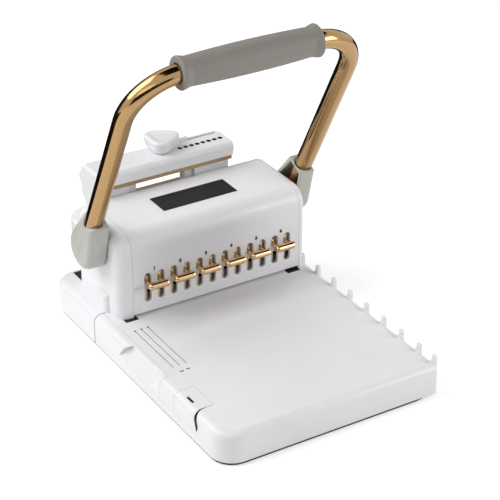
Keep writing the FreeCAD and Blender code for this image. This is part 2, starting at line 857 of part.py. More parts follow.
def rubber_feet():
    feet = []
    for side, x in (("left", "base_left + foot_inset"), ("right", "base_right - foot_inset")):
        for end, y in (("front", "base_front + foot_inset"), ("rear", "base_rear - foot_inset")):
            feet.append(rod(f"foot_{end}_{side}", x, y, "0", "foot_radius", "foot_height"))
    return keep(group("rubber_feet", feet), "rubber_feet")


# Deck, guide plate and backstop

def punch_places():
    return [f"slot_centre + slot_pitch * ({number} - (slot_count - 1) / 2)"
            for number in range(int(value("slot_count")))]


def deck_plate():
    """The black steel deck with a die hole under each punch."""
    body = new_body("deck_sheet")
    pad(body, "deck_blank", "XY_Plane", deck_outline("base_rear - base_edge_round - 2 * seam_gap"),
        "base_top - deck_thick", "deck_thick")
    dies = [rod(f"die_{number}", x, "punch_line", "base_top - deck_thick", "punch_radius + run_fit",
                "deck_thick") for number, x in enumerate(punch_places())]
    return keep(cut("deck_plate", body, dies), "deck_plate")


def guide_plate():
    """The steel plate over the throat that keeps the punches square."""
    front = "panel_front + head_wall + seam_gap"
    plate = block("guide_sheet", ("frame_left_in", "frame_right_in"),
                  (front, f"{front} + guide_plate_depth"),
                  ("base_top + throat", "base_top + throat + guide_plate_thick"))
    bores = [rod(f"guide_bore_{number}", x, "punch_line", "base_top + throat", "punch_radius + run_fit",
                 "guide_plate_thick") for number, x in enumerate(punch_places())]
    return keep(cut("punch_guide_plate", plate, bores), "punch_guide_plate")


def paper_backstop():
    """The strip that the sheets are pushed against."""
    start = "punch_line + paper_margin"
    stop = block("paper_backstop", ("frame_left_in", "frame_right_in"),
                 (start, f"{start} + backstop_depth"), ("base_top", "base_top + throat"))
    return keep(stop, "paper_backstop")


# Head

def head_side_outline(front, wall="0", low="base_top"):
    """Side view of the head as (depth, height): straight front, round edges come as fillets."""
    return [(f"{front} + {wall}", low),
            (f"head_rear - {wall}", low),
            (f"head_rear - {wall}", f"head_top - {wall}"),
            (f"{front} + {wall}", f"head_top - {wall}")]


def head_edges(body, name, front, wall="0"):
    """Round the head's long upper edges in front and at the rear."""
    high = value(f"head_top - {wall}")
    fillet(body, name + "_front_round", f"head_front_round - {wall}",
           [{"y": value(f"{front} + {wall}"), "z": high}])
    fillet(body, name + "_rear_round", f"head_rear_round - {wall} / 2",
           [{"y": value(f"head_rear - {wall}"), "z": high}])


def head_cover():
    """The top shell between the ends, with the upper halves of the slots."""
    body = new_body("head_cover_block")
    wide = "panel_right - panel_left - 2 * seam_gap"
    start = "panel_left + seam_gap"
    pad(body, "cover_block", "YZ_Plane", head_side_outline("panel_front"), start, wide)
    head_edges(body, "cover", "panel_front")
    inner = hollow_body("cover_core", "panel_front", start, wide)
    shell = cut("cover_shell", body, [inner])
    front_window = block("cover_front_window", (start, f"{start} + {wide}"),
                         ("panel_front", "head_rear - 2 * head_wall"), ("base_top", "strip_seam"))
    slots = [slot_cutter(f"cover_slot_{number}", x) for number, x in enumerate(punch_places())]
    arms = [arm_window(side) for side in ("left", "right")]
    return keep(cut("head_cover", shell, [front_window] + slots + arms), "head_cover")


def hollow_body(name, front, start, wide, corner=None):
    """The hollow inside a stretch of the head, with a round upright corner where one is named."""
    body = new_body(name)
    pad(body, name + "_block", "YZ_Plane", head_side_outline(front, "head_wall", f"base_top - {SPARE}"),
        start, wide)
    head_edges(body, name, front, "head_wall")
    if corner:
        fillet(body, name + "_corner", corner[0],
               [{"x": value(corner[1]), "y": value(f"{front} + head_wall")}])
    return body


def slot_cutter(name, x):
    """A slot with round ends, cut through the front."""
    depth = (f"panel_front - {SPARE}", "panel_front + head_wall + seam_gap / 2")
    half = "slot_width / 2"
    middle = block(name + "_middle", (f"{x} - {half}", f"{x} + {half}"), depth,
                   (f"slot_low + {half}", f"slot_high - {half}"))
    ends = [rod(f"{name}_{end}", x, depth[0], z, half, f"head_wall + seam_gap / 2 + {SPARE}", "y")
            for end, z in (("low", f"slot_low + {half}"), ("high", f"slot_high - {half}"))]
    return join(name, [middle] + ends)


def arm_window(side):
    """The slot in the rear wall that a closer arm runs in."""
    half = "arm_thick / 2 + arm_room"
    return block(f"arm_window_{side}", (f"arm_{side} - ({half})", f"arm_{side} + {half}"),
                 (f"head_rear - head_wall - {SPARE}", f"head_rear + {SPARE}"),
                 ("arm_low - punch_travel - arm_room", "arm_high + arm_room"))


def front_strip():
    """The lower front piece with the lower halves of the slots."""
    sheet_piece = block("strip_sheet", ("panel_left + seam_gap", "panel_right - seam_gap"),
                        ("panel_front", "panel_front + head_wall"),
                        ("base_top + throat", "strip_seam - seam_gap"))
    slots = [slot_cutter(f"strip_slot_{number}", x) for number, x in enumerate(punch_places())]
    return keep(cut("front_strip", sheet_piece, slots), "front_strip")


def head_end(side):
    """An end of the head: a round front column, a side wall and a foot flare."""
    name = f"head_end_{side}"
    outer, inner, corner, out = (
        ("head_left", "panel_left", "column_round", -1) if side == "left"
        else ("head_right", "panel_right", "head_end_round", 1)
    )
    low, high = (outer, inner) if side == "left" else (inner, outer)
    body = new_body(name + "_block")
    pad(body, name + "_solid", "YZ_Plane", head_side_outline("panel_front"), low, f"({high}) - ({low})")
    head_edges(body, name, "panel_front")
    fillet(body, name + "_column_round", corner, [{"x": value(outer), "y": value("panel_front")}])
    hollow = hollow_body(
        name + "_hollow", "panel_front",
        f"{low} + head_wall" if side == "left" else f"{low} - {SPARE}",
        f"({high}) - ({low}) - head_wall + {SPARE}",
        (f"{corner} - head_wall", f"{outer} - ({out}) * head_wall"))
    bore = rod(name + "_bore", f"{low} - {SPARE}", "shaft_depth", "shaft_height",
               "bush_radius + bush_window", f"({high}) - ({low}) + 2 * {SPARE}", "x")
    shell = cut(name + "_shell", body, [hollow, bore])
    return keep(join(name, [shell, foot_flare(name, outer, out)]), name)


def foot_flare(name, outer, out):
    """The flare at the foot of an end's side wall, rounded on top and at both ends."""
    flare_at = f"{outer} + ({out}) * flare_proud"
    sides = sorted((flare_at, f"{outer} - ({out}) * head_wall"), key=value)
    flare = block(name + "_flare", sides, ("flare_front", "flare_rear"), ("base_top", "flare_top"))
    return round_part(name + "_flare_round", flare, [
        ("flare_round", {"x": value(flare_at), "z": value("flare_top")}),
        ("flare_end_round", {"x": value(flare_at), "y": value("flare_front")}),
        ("flare_end_round", {"x": value(flare_at), "y": value("flare_rear")}),
    ])


def top_plaque():
    """The bare black plate on top of the head."""
    middle = "handle_middle + plaque_shift"
    plate = block("plaque_sheet", (f"{middle} - plaque_length / 2", f"{middle} + plaque_length / 2"),
                  ("plaque_middle - plaque_depth / 2", "plaque_middle + plaque_depth / 2"),
                  ("head_top", "head_top + plaque_thick"))
    return keep(plate, "top_plaque")


# Frames, shaft and cams

TIE_PLACES = (("frame_rear - tie_inset", "shaft_height - tie_drop"),
              ("frame_rear - tie_inset", "base_top + tie_rise"))


def frame_sides(side):
    """The left and right face of a side frame."""
    return ("frame_left_out", "frame_left_in") if side == "left" else ("frame_right_in", "frame_right_out")


def side_frame(side):
    """A steel side plate with a foot flange and the bore for its shaft bush."""
    name = f"side_frame_{side}"
    low, high = frame_sides(side)
    shoulder, top = "shaft_height - bush_radius * 2", "shaft_height + frame_collar"
    body = new_body(name)
    pad(body, name + "_plate", "YZ_Plane", [
        ("frame_front", "base_top"),
        ("frame_rear", "base_top"),
        ("frame_rear", shoulder),
        ("shaft_depth + 2 * bush_radius", top),
        ("shaft_depth - 2 * bush_radius", top),
        ("frame_front", shoulder),
    ], low, "frame_thick")
    flange = (low, f"{high} + frame_foot") if side == "left" else (f"{low} - frame_foot", high)
    pad(body, name + "_flange", "XY_Plane",
        rectangle(flange, ("frame_rear - frame_foot_depth", "frame_rear")), "base_top", "frame_thick")
    bores = new_sketch(body, name + "_bores", "YZ_Plane", f"{low} - {SPARE}")
    draw_circle(bores, "shaft_depth", "shaft_height", "bush_radius")
    for y, z in TIE_PLACES:
        draw_circle(bores, y, z, "tie_radius + run_fit")
    feature(body, "Pocket", name + "_holes", bores, f"frame_thick + 2 * {SPARE}", backwards=True)
    drill(body, name + "_screw_holes", frame_screw_places(side), "screw_radius + run_fit", "base_top",
          "frame_thick")
    return keep(body, name)


def frame_screw_places(side):
    """Where the two screws stand in a frame's flange."""
    edge = "frame_foot - frame_screw_inset"
    x = f"frame_left_in + {edge}" if side == "left" else f"frame_right_in - ({edge})"
    return [(x, f"frame_rear - frame_screw_setback + {row} * frame_screw_pitch") for row in (0, 1)]


def tie_rods():
    """Two rods that hold the side frames apart."""
    length = "frame_right_out - frame_left_out"
    rods = [rod(f"tie_rod_{row}", "frame_left_out", y, z, "tie_radius", length, "x")
            for row, (y, z) in enumerate(TIE_PLACES)]
    return keep(group("tie_rods", rods), "tie_rods")


def on_shaft(name, start, radius, length, bore):
    """A ring on the shaft's line, from a start to the right."""
    solid = rod(name + "_solid", start, "shaft_depth", "shaft_height", radius, length, "x")
    hole = rod(name + "_hole", f"{start} - {SPARE}", "shaft_depth", "shaft_height", bore,
               f"{length} + 2 * {SPARE}", "x")
    return cut(name, solid, [hole])


def shaft_bushes():
    """A brass bush in each side frame, proud on the outside."""
    bushes = [on_shaft(f"bush_{side}", start, "bush_radius", "frame_thick + bush_proud",
                       "shaft_radius + run_fit")
              for side, start in (("left", "frame_left_out - bush_proud"), ("right", "frame_right_in"))]
    return keep(group("shaft_bushes", bushes), "shaft_bushes")


def cross_shaft():
    """The shaft from hub to hub, stepped down where it passes through the handle tube."""
    half = "handle_half_width - tube_radius - shaft_step"
    middle = rod("shaft_middle", f"handle_middle - ({half})", "shaft_depth", "shaft_height", "shaft_radius",
                 f"2 * ({half})", "x")
    ends = rod("shaft_ends", "handle_middle - shaft_reach", "shaft_depth", "shaft_height",
               "shaft_end_radius", "2 * shaft_reach", "x")
    return keep(join("cross_shaft", [middle, ends]), "cross_shaft")


def shaft_rings():
    """A washer outside each bush that keeps the shaft from sliding along."""
    rings = [on_shaft(f"ring_{side}", start, "bush_radius", "ring_thick", "shaft_radius")
             for side, start in (("left", "frame_left_out - bush_proud - slide_gap - ring_thick"),
                                 ("right", "frame_right_out + bush_proud + slide_gap"))]
    return keep(group("shaft_rings", rings), "shaft_rings")


# Points on a cam's working face, less one
CAM_STEPS = 8


def cam_face(rise, start, turn):
    """Outline of a cam whose lift grows evenly with the turn: an involute with a round hub.

    The point that presses after a turn lies one rise in front of the axis, as far below it as the lift.
    """
    points = []
    for step in range(CAM_STEPS + 1):
        angle = turn * step / CAM_STEPS
        lift = start + rise * angle
        points.append(Vector(0, -rise * math.cos(angle) - lift * math.sin(angle),
                             rise * math.sin(angle) - lift * math.cos(angle)))
    working = Part.BSplineCurve()
    working.interpolate(points)
    radius = value("cam_hub_radius")
    hub_top, hub_back, hub_low = Vector(0, 0, radius), Vector(0, radius, 0), Vector(0, 0, -radius)
    shoulder = points[-1] + Vector(0, value("cam_heel_back"), value("cam_heel_rise"))
    return Part.Face(Part.Wire([
        working.toShape(),
        Part.makeLine(points[-1], shoulder),
        Part.makeLine(shoulder, hub_top),
        Part.Arc(hub_top, hub_back, hub_low).toShape(),
        Part.makeLine(hub_low, points[0]),
    ]))


def cams():
    """Two cams on the shaft that push the pressure bar down evenly."""
    turn = math.radians(value("stroke_angle"))
    width = value("cam_width")
    face = cam_face(value("punch_travel") / turn, value("cam_start"), turn)
    solid = face.extrude(Vector(width, 0, 0)).cut(
        Part.makeCylinder(value("shaft_radius"), width, Vector(), Vector(1, 0, 0)))
    pair = []
    for side in (-1, 1):
        cam = solid.copy()
        cam.translate(Vector(value(f"handle_middle + {side} * cam_spread") - width / 2, 0, 0))
        pair.append(cam)
    part = doc.addObject("Part::Feature", "cams")
    part.Shape = Part.makeCompound(pair)
    part.Placement = Placement(Vector(0, value("shaft_depth"), value("shaft_height")), Rotation())
    return keep(part, "cams")


# Carriage

GUIDE_POSTS = ("frame_left_in + post_inset", "frame_right_in - post_inset")
PAD_TOP = "shaft_height - cam_start - slide_gap"


def guide_posts():
    """Two posts on the deck that the pressure bar slides on."""
    posts = [rod(f"guide_post_{number}", x, "post_depth", "base_top", "post_radius",
                 "bar_high + post_spare - base_top") for number, x in enumerate(GUIDE_POSTS)]
    return keep(group("guide_posts", posts), "guide_posts")


def pressure_bar():
    """The bar that the cams push down, with cam pads, guide ears and bores for punches and keys."""
    pieces = [block("bar_beam", ("frame_left_in + bar_end_gap", "frame_right_in - bar_end_gap"),
                    ("bar_front", "bar_rear"), ("bar_low", "bar_high"))]
    half_pad = "(cam_width / 2 + cam_pad_margin)"
    for number, side in enumerate((-1, 1)):
        middle = f"handle_middle + {side} * cam_spread"
        pieces.append(block(f"cam_pad_{number}", (f"{middle} - {half_pad}", f"{middle} + {half_pad}"),
                            ("bar_front + cam_pad_lead", "bar_rear"), (f"bar_high - {SPARE}", PAD_TOP)))
    half_ear = "(post_radius + ear_wall)"
    for number, x in enumerate(GUIDE_POSTS):
        pieces.append(block(f"guide_ear_{number}", (f"{x} - {half_ear}", f"{x} + {half_ear}"),
                            (f"bar_rear - {SPARE}", f"post_depth + {half_ear}"),
                            ("bar_low + ear_edge", "bar_high - ear_edge")))
    return keep(cut("pressure_bar", join("bar_blank", pieces), bar_bores()), "pressure_bar")


def bar_bores():
    """What is bored out of the pressure bar for the punches, the keys' posts and the guide posts."""
    bores = []
    for number, x in enumerate(punch_places()):
        bores.append(rod(f"punch_bore_{number}", x, "punch_line", f"bar_low - {SPARE}",
                         "punch_radius + run_fit", f"key_height - bar_low + {SPARE}"))
        bores.append(rod(f"key_bore_{number}", x, f"bar_front - {SPARE}", "key_height",
                         "key_post_radius + run_fit",
                         "punch_line - bar_front + key_post_radius + key_room", "y"))
    for number, x in enumerate(GUIDE_POSTS):
        bores.append(rod(f"post_bore_{number}", x, "post_depth", "bar_low", "post_radius + run_fit",
                         "bar_high - bar_low"))
    return bores


def punch_pins():
    """The twelve punches, from below the keys' posts down to just above the dies."""
    length = "key_height - key_post_radius - punch_seat - punch_tip"
    pins = [rod(f"punch_{number}", x, "punch_line", "punch_tip", "punch_radius", length)
            for number, x in enumerate(punch_places())]
    return keep(group("punch_pins", pins), "punch_pins")


def pull_key(number):
    """A brass pull key: a bar with round ends on two posts, over a pair of slots."""
    name = f"pull_key_{number + 1}"
    middle = f"slot_centre + slot_pitch * (2 * {number} + 0.5 - (slot_count - 1) / 2)"
    half = "key_bar_length / 2 - key_bar_radius"
    pieces = [rod(name + "_bar", f"{middle} - ({half})", "key_reach", "key_height", "key_bar_radius",
                  f"2 * ({half})", "x")]
    for end, side in (("left", -1), ("right", 1)):
        ball = doc.addObject("Part::Sphere", f"{name}_{end}_end")
        bind(ball, Radius="key_bar_radius")
        pieces.append(place(ball, f"{middle} + ({side}) * ({half})", "key_reach", "key_height"))
        pieces.append(rod(f"{name}_{end}_post", f"{middle} + ({side}) * slot_pitch / 2", "key_reach",
                          "key_height", "key_post_radius", "punch_line + key_post_radius - key_reach", "y"))
    return keep(join(name, pieces), name)


def press_arm(side):
    """A steel arm from the pressure bar through the head's rear wall and up to the closer."""
    name = f"press_arm_{side}"
    body = new_body(name)
    pad(body, name + "_plate", "YZ_Plane", [
        ("bar_rear", "arm_low"), ("web_rear", "arm_low"), ("web_rear", "press_low"),
        ("web_rear + arm_reach", "press_low"), ("web_rear + arm_reach", "press_high"),
        ("web_front", "press_high"), ("web_front", "arm_high"), ("bar_rear", "arm_high"),
    ], f"arm_{side} - arm_thick / 2", "arm_thick")
    return keep(body, name)


def press_bar():
    """The gold bar that comes down on the wire, notched onto its two arms."""
    plate = block("press_sheet", ("closer_left + press_end_inset", "closer_right - press_end_inset"),
                  ("leg_rear + slide_gap", "closer_rear - press_rear_inset"), ("press_low", "press_high"))
    notches = [block(f"press_notch_{side}", (f"arm_{side} - arm_thick / 2", f"arm_{side} + arm_thick / 2"),
                     ("leg_rear", "web_rear + arm_reach"), (f"press_low - {SPARE}", "jaw_plate_low"))
               for side in ("left", "right")]
    return keep(cut("press_bar", plate, notches), "press_bar")


# Handle, drawn upright about the shaft and then leaned forward

def lean(thing, sideways="0", up="0"):
    """Put a piece that is drawn about the shaft into the leaning frame of the handle."""
    thing.Placement = Placement(Vector(), Rotation(Vector(1, 0, 0), value("handle_lean")))
    bind(thing, Placement__Rotation__Angle="handle_lean",
         Placement__Base__x=f"handle_middle + {sideways}",
         Placement__Base__y=f"shaft_depth - ({up}) * sin(handle_lean * 1deg)",
         Placement__Base__z=f"shaft_height + ({up}) * cos(handle_lean * 1deg)")
    return thing


def handle_path():
    """Corners of the bent tube: two legs that splay a little and the stretch that holds the grip."""
    slope = math.tan(math.radians(value("handle_splay")))
    foot, top = -value("tube_tail"), value("handle_length")
    half = value("handle_half_width")
    low_half, high_half = half + foot * slope, half + top * slope
    return [Vector(-low_half, 0, foot), Vector(-high_half, 0, top), Vector(high_half, 0, top),
            Vector(low_half, 0, foot)]


def bent_wire(corners, radius):
    """Straight runs joined by tangent arcs of one radius."""
    start, edges = corners[0], []
    for before, corner, after in zip(corners, corners[1:], corners[2:]):
        come, leave = (before - corner).normalize(), (after - corner).normalize()
        half_turn = come.getAngle(leave) / 2
        reach = radius / math.tan(half_turn)
        enter, depart = corner + come * reach, corner + leave * reach
        middle = corner + (come + leave).normalize() * (radius / math.sin(half_turn) - radius)
        edges += [Part.makeLine(start, enter), Part.Arc(enter, middle, depart).toShape()]
        start = depart
    return Part.Wire(edges + [Part.makeLine(start, corners[-1])])


def bent_rod(corners, bend, radius):
    """A round rod along a bent wire."""
    along = (corners[1] - corners[0]).normalize()
    section = Part.Face(Part.Wire(Part.makeCircle(radius, corners[0], along)))
    return bent_wire(corners, bend).makePipe(section)


def handle_tube():
    """The bent tube, hollow, cross-drilled at both ends for the shaft."""
    corners, bend = handle_path(), value("tube_bend")
    outside, inside = value("tube_radius"), value("tube_radius - tube_wall")
    reach = value("handle_half_width") + 2 * outside
    cross = Part.makeCylinder(value("shaft_end_radius + run_fit"), 2 * reach,
                              Vector(-reach, 0, 0), Vector(1, 0, 0))
    part = doc.addObject("Part::Feature", "handle_tube")
    part.Shape = bent_rod(corners, bend, outside).cut([bent_rod(corners, bend, inside), cross])
    return keep(lean(part), "handle_tube")


def rim_corners():
    """Corners of the grip's right end as (along, radius), from its bore round the rim to the barrel."""
    half, bore, rim = value("grip_length") / 2, value("tube_radius + run_fit"), value("grip_rim_radius")
    edge, shoulder = value("grip_rim_edge"), half - value("grip_rim_wide")
    return [Vector(half - value("grip_mouth_deep"), bore, 0),
            Vector(half, bore + value("grip_mouth_flare"), 0),
            Vector(half, rim - edge, 0),
            Vector(half - edge, rim, 0),
            Vector(shoulder, rim - value("grip_rim_drop"), 0),
            Vector(shoulder - value("grip_rim_slope"), value("grip_end_radius"), 0)]


def rim_lines(spots):
    """The lines through a rim's corners, with its outer edge as an arc."""
    centre = Vector(spots[3].x, spots[2].y, 0)
    crown = centre + ((spots[2] + spots[3]) * 0.5 - centre).normalize() * value("grip_rim_edge")
    return [Part.LineSegment(spots[0], spots[1]),
            Part.LineSegment(spots[1], spots[2]),
            Part.Arc(spots[2], crown, spots[3]),
            Part.LineSegment(spots[3], spots[4]),
            Part.LineSegment(spots[4], spots[5])]


def grip():
    """The grip: a barrel with a flared rim at each end, bored for the tube."""
    body = new_body("grip")
    sketch = new_sketch(body, "grip_outline", "XZ_Plane")
    right = rim_corners()
    left = [Vector(-spot.x, spot.y, 0) for spot in right]
    sketch.addGeometry(rim_lines(right) + rim_lines(left) + [
        Part.Arc(right[5], Vector(0, value("grip_middle_radius"), 0), left[5]),
        Part.LineSegment(left[0], right[0]),
    ], False)
    turned = body.newObject("PartDesign::Revolution", "grip_turned")
    turned.Profile = sketch
    turned.ReferenceAxis = (origin_line(body, "X_Axis"), [""])
    turned.Angle = 360
    return keep(lean(body, sideways="-grip_shift", up="handle_length"), "grip")


def hub_outline(sketch, inset):
    """Side view of a hub: round below the shaft, with straight sides that lean in to the top."""
    radius = value("hub_radius") - inset
    half, top = value("hub_top_half") - inset, value("hub_top_height") - inset
    spread = math.atan2(top, half) - math.acos(radius / math.hypot(half, top))
    right = Vector(radius * math.cos(spread), radius * math.sin(spread), 0)
    left = Vector(-right.x, right.y, 0)
    sketch.addGeometry([
        Part.Arc(right, Vector(0, -radius, 0), left),
        Part.LineSegment(left, Vector(-half, top, 0)),
        Part.LineSegment(Vector(-half, top, 0), Vector(half, top, 0)),
        Part.LineSegment(Vector(half, top, 0), right),
    ], False)


def hub_solid(name, side, inset, near, far, dome):
    """A domed solid in a hub's outline from near to far along the shaft."""
    body = new_body(name)
    low, high = (far, near) if side == "left" else (near, far)
    sketch = new_sketch(body, name + "_outline", "YZ_Plane", low)
    hub_outline(sketch, value(inset))
    feature(body, "Pad", name + "_pad", sketch, f"({high}) - ({low})")
    doc.recompute()
    outer_edges, tip = edges_at(body.Shape, x=value(far)), body.Tip
    rounded = body.newObject("PartDesign::Fillet", name + "_dome")
    rounded.Base = (tip, outer_edges)
    bind(rounded, Radius=dome)
    return body


def hub_cup(side):
    """A hub cover: a domed cup, open towards the head, with the tube through its top."""
    name = f"hub_cup_{side}"
    sign = "-1" if side == "left" else "1"
    outside = hub_solid(name + "_outside", side, "0", f"{sign} * hub_near", f"{sign} * hub_far",
                        "hub_dome")
    inside = hub_solid(name + "_inside", side, "hub_wall", f"{sign} * (hub_near - {SPARE})",
                       f"{sign} * (hub_far - hub_wall)", "hub_dome - hub_wall")
    tube_gap = rod(name + "_tube_gap", f"{sign} * handle_half_width", "0", "-tube_tail - slide_gap",
                   "tube_radius + slide_gap", f"tube_tail + slide_gap + hub_top_height + 2 * {SPARE}")
    return keep(lean(cut(name, outside, [inside, tube_gap])), name)


# Wire closer

def arm_slots():
    """The room that the two arms need in the closer frame over their whole stroke."""
    room = []
    half, lowest = "(arm_thick / 2 + arm_room)", "arm_low - punch_travel - arm_room"
    for side in ("left", "right"):
        across = (f"arm_{side} - {half}", f"arm_{side} + {half}")
        room.append(block(f"arm_room_low_{side}", across, ("head_rear", "web_rear + arm_room"),
                          (lowest, "arm_high + arm_room")))
        room.append(block(f"arm_room_web_{side}", across, ("web_front - arm_room", "web_rear + arm_room"),
                          (lowest, f"jaw_plate_low + {SPARE}")))
        room.append(block(f"arm_room_tongue_{side}", across, ("web_rear", f"leg_rear + {SPARE}"),
                          ("press_low - punch_travel - arm_room", f"jaw_plate_low + {SPARE}")))
    return room


def closer_ledge():
    """The ledge across the back, with round rear corners."""
    ledge = new_body("closer_ledge")
    pad(ledge, "ledge_slab", "XY_Plane",
        rectangle(("ledge_left", "ledge_right"), ("leg_front", "ledge_rear")), "ledge_low", "ledge_thick")
    fillet(ledge, "ledge_corners", "ledge_corner",
           [{"x": value(side), "y": value("ledge_rear")} for side in ("ledge_left", "ledge_right")])
    fillet(ledge, "ledge_edge", "ledge_rim", [{"y": value("ledge_rear"), "z": value("ledge_high")}])
    return ledge


def closer_legs():
    """The two legs that carry the upper jaw, each stepped back at its inner edge."""
    legs = []
    for side, outer, inner, sign in (("left", "closer_left", "leg_left_edge", 1),
                                     ("right", "closer_right - leg_end_inset", "leg_right_edge", -1)):
        step = f"{inner} - ({sign}) * leg_step_wide"
        height = (f"ledge_high - {SPARE}", "jaw_plate_low")
        broad = sorted((outer, step), key=value)
        narrow = sorted((f"{step} - ({sign}) * {SPARE}", inner), key=value)
        legs.append(block(f"leg_{side}", broad, ("leg_front", "leg_rear"), height))
        legs.append(block(f"leg_step_{side}", narrow, ("leg_front + leg_step_deep", "leg_rear"), height))
    return legs


def closer_frame():
    """The white frame of the wire closer: a box on the deck, a ledge and two legs."""
    right = "closer_right - leg_end_inset"
    box = block("closer_box", ("closer_left", right), ("leg_front", "housing_rear"),
                ("base_top", "ledge_low"))
    box_room = block("closer_box_room", ("closer_left + box_wall", f"{right} - box_wall"),
                     ("leg_front + box_wall", "housing_rear - box_wall"),
                     (f"base_top - {SPARE}", "ledge_low - box_wall"))
    hollow_box = cut("closer_box_shell", box, [box_room])
    blank = join("closer_frame_blank", [hollow_box, closer_ledge()] + closer_legs())
    return keep(cut("closer_frame", blank, arm_slots()), "closer_frame")


def lower_jaw():
    """The gold plate under the wire, wide in front between the legs."""
    behind = "leg_rear + seam_gap"
    main = block("jaw_strip", ("closer_left + seam_gap", "closer_right"), (behind, "closer_rear"),
                 ("ledge_high", "lower_jaw_high"))
    tongue = block("jaw_tongue", ("leg_left_edge + seam_gap", "leg_right_edge - seam_gap"),
                   ("leg_front + leg_step_deep", f"{behind} + {SPARE}"), ("ledge_high", "lower_jaw_high"))
    blank = join("jaw_blank", [main, tongue])
    rear_edge = {"y": value("closer_rear"), "z": value("lower_jaw_high")}
    return keep(round_part("lower_jaw", blank, [("lower_jaw_round", rear_edge)]), "lower_jaw")


def upper_jaw():
    """The gold plate on the legs that the cover sits on; its front edge shows under the cover."""
    plate = block("upper_jaw", ("closer_left + seam_gap", "closer_right - jaw_end_inset"),
                  ("head_rear - jaw_lead", "closer_rear - seam_gap"), ("jaw_plate_low", "cover_low"))
    return keep(plate, "upper_jaw")


STOP_SLOT = ("stop_slot_depth - stop_slot_wide / 2", "stop_slot_depth + stop_slot_wide / 2")


def closer_cover():
    """The white top cover of the closer, open below, with the slot of the size stop."""
    body = new_body("closer_cover_block")
    foot = "cover_front + cover_lean"
    pad(body, "closer_cover_solid", "YZ_Plane",
        [(foot, "cover_low"), ("closer_rear", "cover_low"), ("closer_rear", "closer_top"),
         ("cover_front", "closer_top")], "closer_left", "closer_width")
    fillet(body, "closer_cover_end", "cover_end_round",
           [{"x": value("closer_right"), "y": value("closer_rear")}])
    fillet(body, "closer_cover_front", "cover_front_round",
           [{"y": value("cover_front"), "z": value("closer_top")}])
    room = block("closer_cover_room", ("closer_left + cover_wall", "closer_right - cover_end_wall"),
                 (f"{foot} + cover_wall + {SPARE}", "closer_rear - cover_wall"),
                 (f"cover_low - {SPARE}", "closer_top - cover_wall"))
    slot = block("stop_slot",
                 ("stop_slot_start", "stop_slot_start + stop_stem + stop_range + 2 * slide_gap"),
                 STOP_SLOT, (f"closer_top - cover_wall - {SPARE}", f"closer_top + {SPARE}"))
    return keep(cut("closer_cover", body, [room, slot]), "closer_cover")


# Rear edge of the closer's end cap, as (depth behind the cover, height above the ledge)
CAP_REAR = [(-4, 0), (-4, 6.8), (-0.3, 8.6), (3.1, 14), (2.5, 20.2)]
CAP_BULGE_HEIGHT = 27.3


def closer_end():
    """The cap at the left end of the closer, bulged to the rear."""
    body = new_body("closer_end")
    rear = [(f"closer_rear + ({behind})", f"ledge_high + {above}") for behind, above in CAP_REAR]
    pad(body, "closer_end_plate", "YZ_Plane", [("leg_front", "ledge_high")] + rear + [
        ("closer_rear + cap_bulge", f"ledge_high + {CAP_BULGE_HEIGHT}"),
        ("closer_rear", "closer_top"),
        ("cover_front + cover_lean * 2", "closer_top"),
        ("cover_front", "closer_top - cover_front_round"),
        ("cover_front + cover_lean", "cover_low"),
        ("leg_front", "cover_low - cap_drop"),
    ], "closer_left - cap_thick", "cap_thick")
    fillet(body, "closer_end_top", "cap_thick * 0.85",
           [{"x": value("closer_left - cap_thick"), "z": value("closer_top")}])
    return keep(body, "closer_end_cap")


def size_stop():
    """The sliding stop that sets the wire size: a carrier on the cover with a tongue in its slot."""
    start = "stop_slot_start + slide_gap"
    front, rear = (f"{STOP_SLOT[0]} + slide_gap", f"{STOP_SLOT[1]} - slide_gap")
    carrier = block("stop_carrier", ("knob_place - stop_tail", f"{start} + {SPARE}"),
                    ("knob_depth - stop_plate_margin", rear),
                    ("closer_top + seam_gap", "closer_top + stop_plate"))
    tongue = block("stop_tongue", (start, f"{start} + stop_stem"), (front, rear),
                   (f"cover_low + {SPARE}", "closer_top + stop_stand"))
    return keep(join("size_stop", [carrier, tongue]), "size_stop")


def size_knob():
    """The lobed knob on the size stop."""
    body = new_body("size_knob_block")
    core = new_sketch(body, "knob_core", "XY_Plane", "knob_foot")
    draw_circle(core, "0", "0", "knob_radius")
    feature(body, "Pad", "knob_core_pad", core, "knob_high")
    lobe = new_sketch(body, "knob_lobe", "XY_Plane", "knob_foot")
    draw_circle(lobe, "knob_lobe_centre", "0", "knob_lobe_radius")
    lobe_pad = feature(body, "Pad", "knob_lobe_pad", lobe, "knob_high")
    ring = body.newObject("PartDesign::PolarPattern", "knob_lobe_ring")
    ring.Originals = [lobe_pad]
    ring.Axis = (origin_line(body, "Z_Axis"), [""])
    ring.Angle = 360
    bind(ring, Occurrences="knob_lobes")
    body.Tip = ring
    fillet(body, "knob_rim", "knob_round", [{"z": value("knob_foot + knob_high")}])
    body.Placement = Placement(Vector(), Rotation(Vector(0, 0, 1), value("knob_turn")))
    bind(body, Placement__Base__x="knob_place", Placement__Base__y="knob_depth",
         Placement__Rotation__Angle="knob_turn")
    return keep(body, "size_knob")


# Fasteners and springs

def screw(name, x, y, z, down=True):
    """A screw with a round head; the shank runs down, or up, from the seat of the head."""
    reach = "frame_screw_reach" if down else "floor_screw_reach + floor_thick"
    shank_start = f"{z} - ({reach})" if down else z
    head_start = z if down else f"{z} - screw_head_high"
    return join(name, [
        rod(name + "_head", x, y, head_start, "screw_head_radius", "screw_head_high"),
        rod(name + "_shank", x, y, shank_start, "screw_radius", reach),
    ])


def frame_screws():
    """Four screws that hold the side frames down."""
    screws = [screw(f"frame_screw_{side}_{row}", x, y, "base_top + frame_thick")
              for side in ("left", "right") for row, (x, y) in enumerate(frame_screw_places(side))]
    return keep(group("frame_screws", screws), "frame_screws")


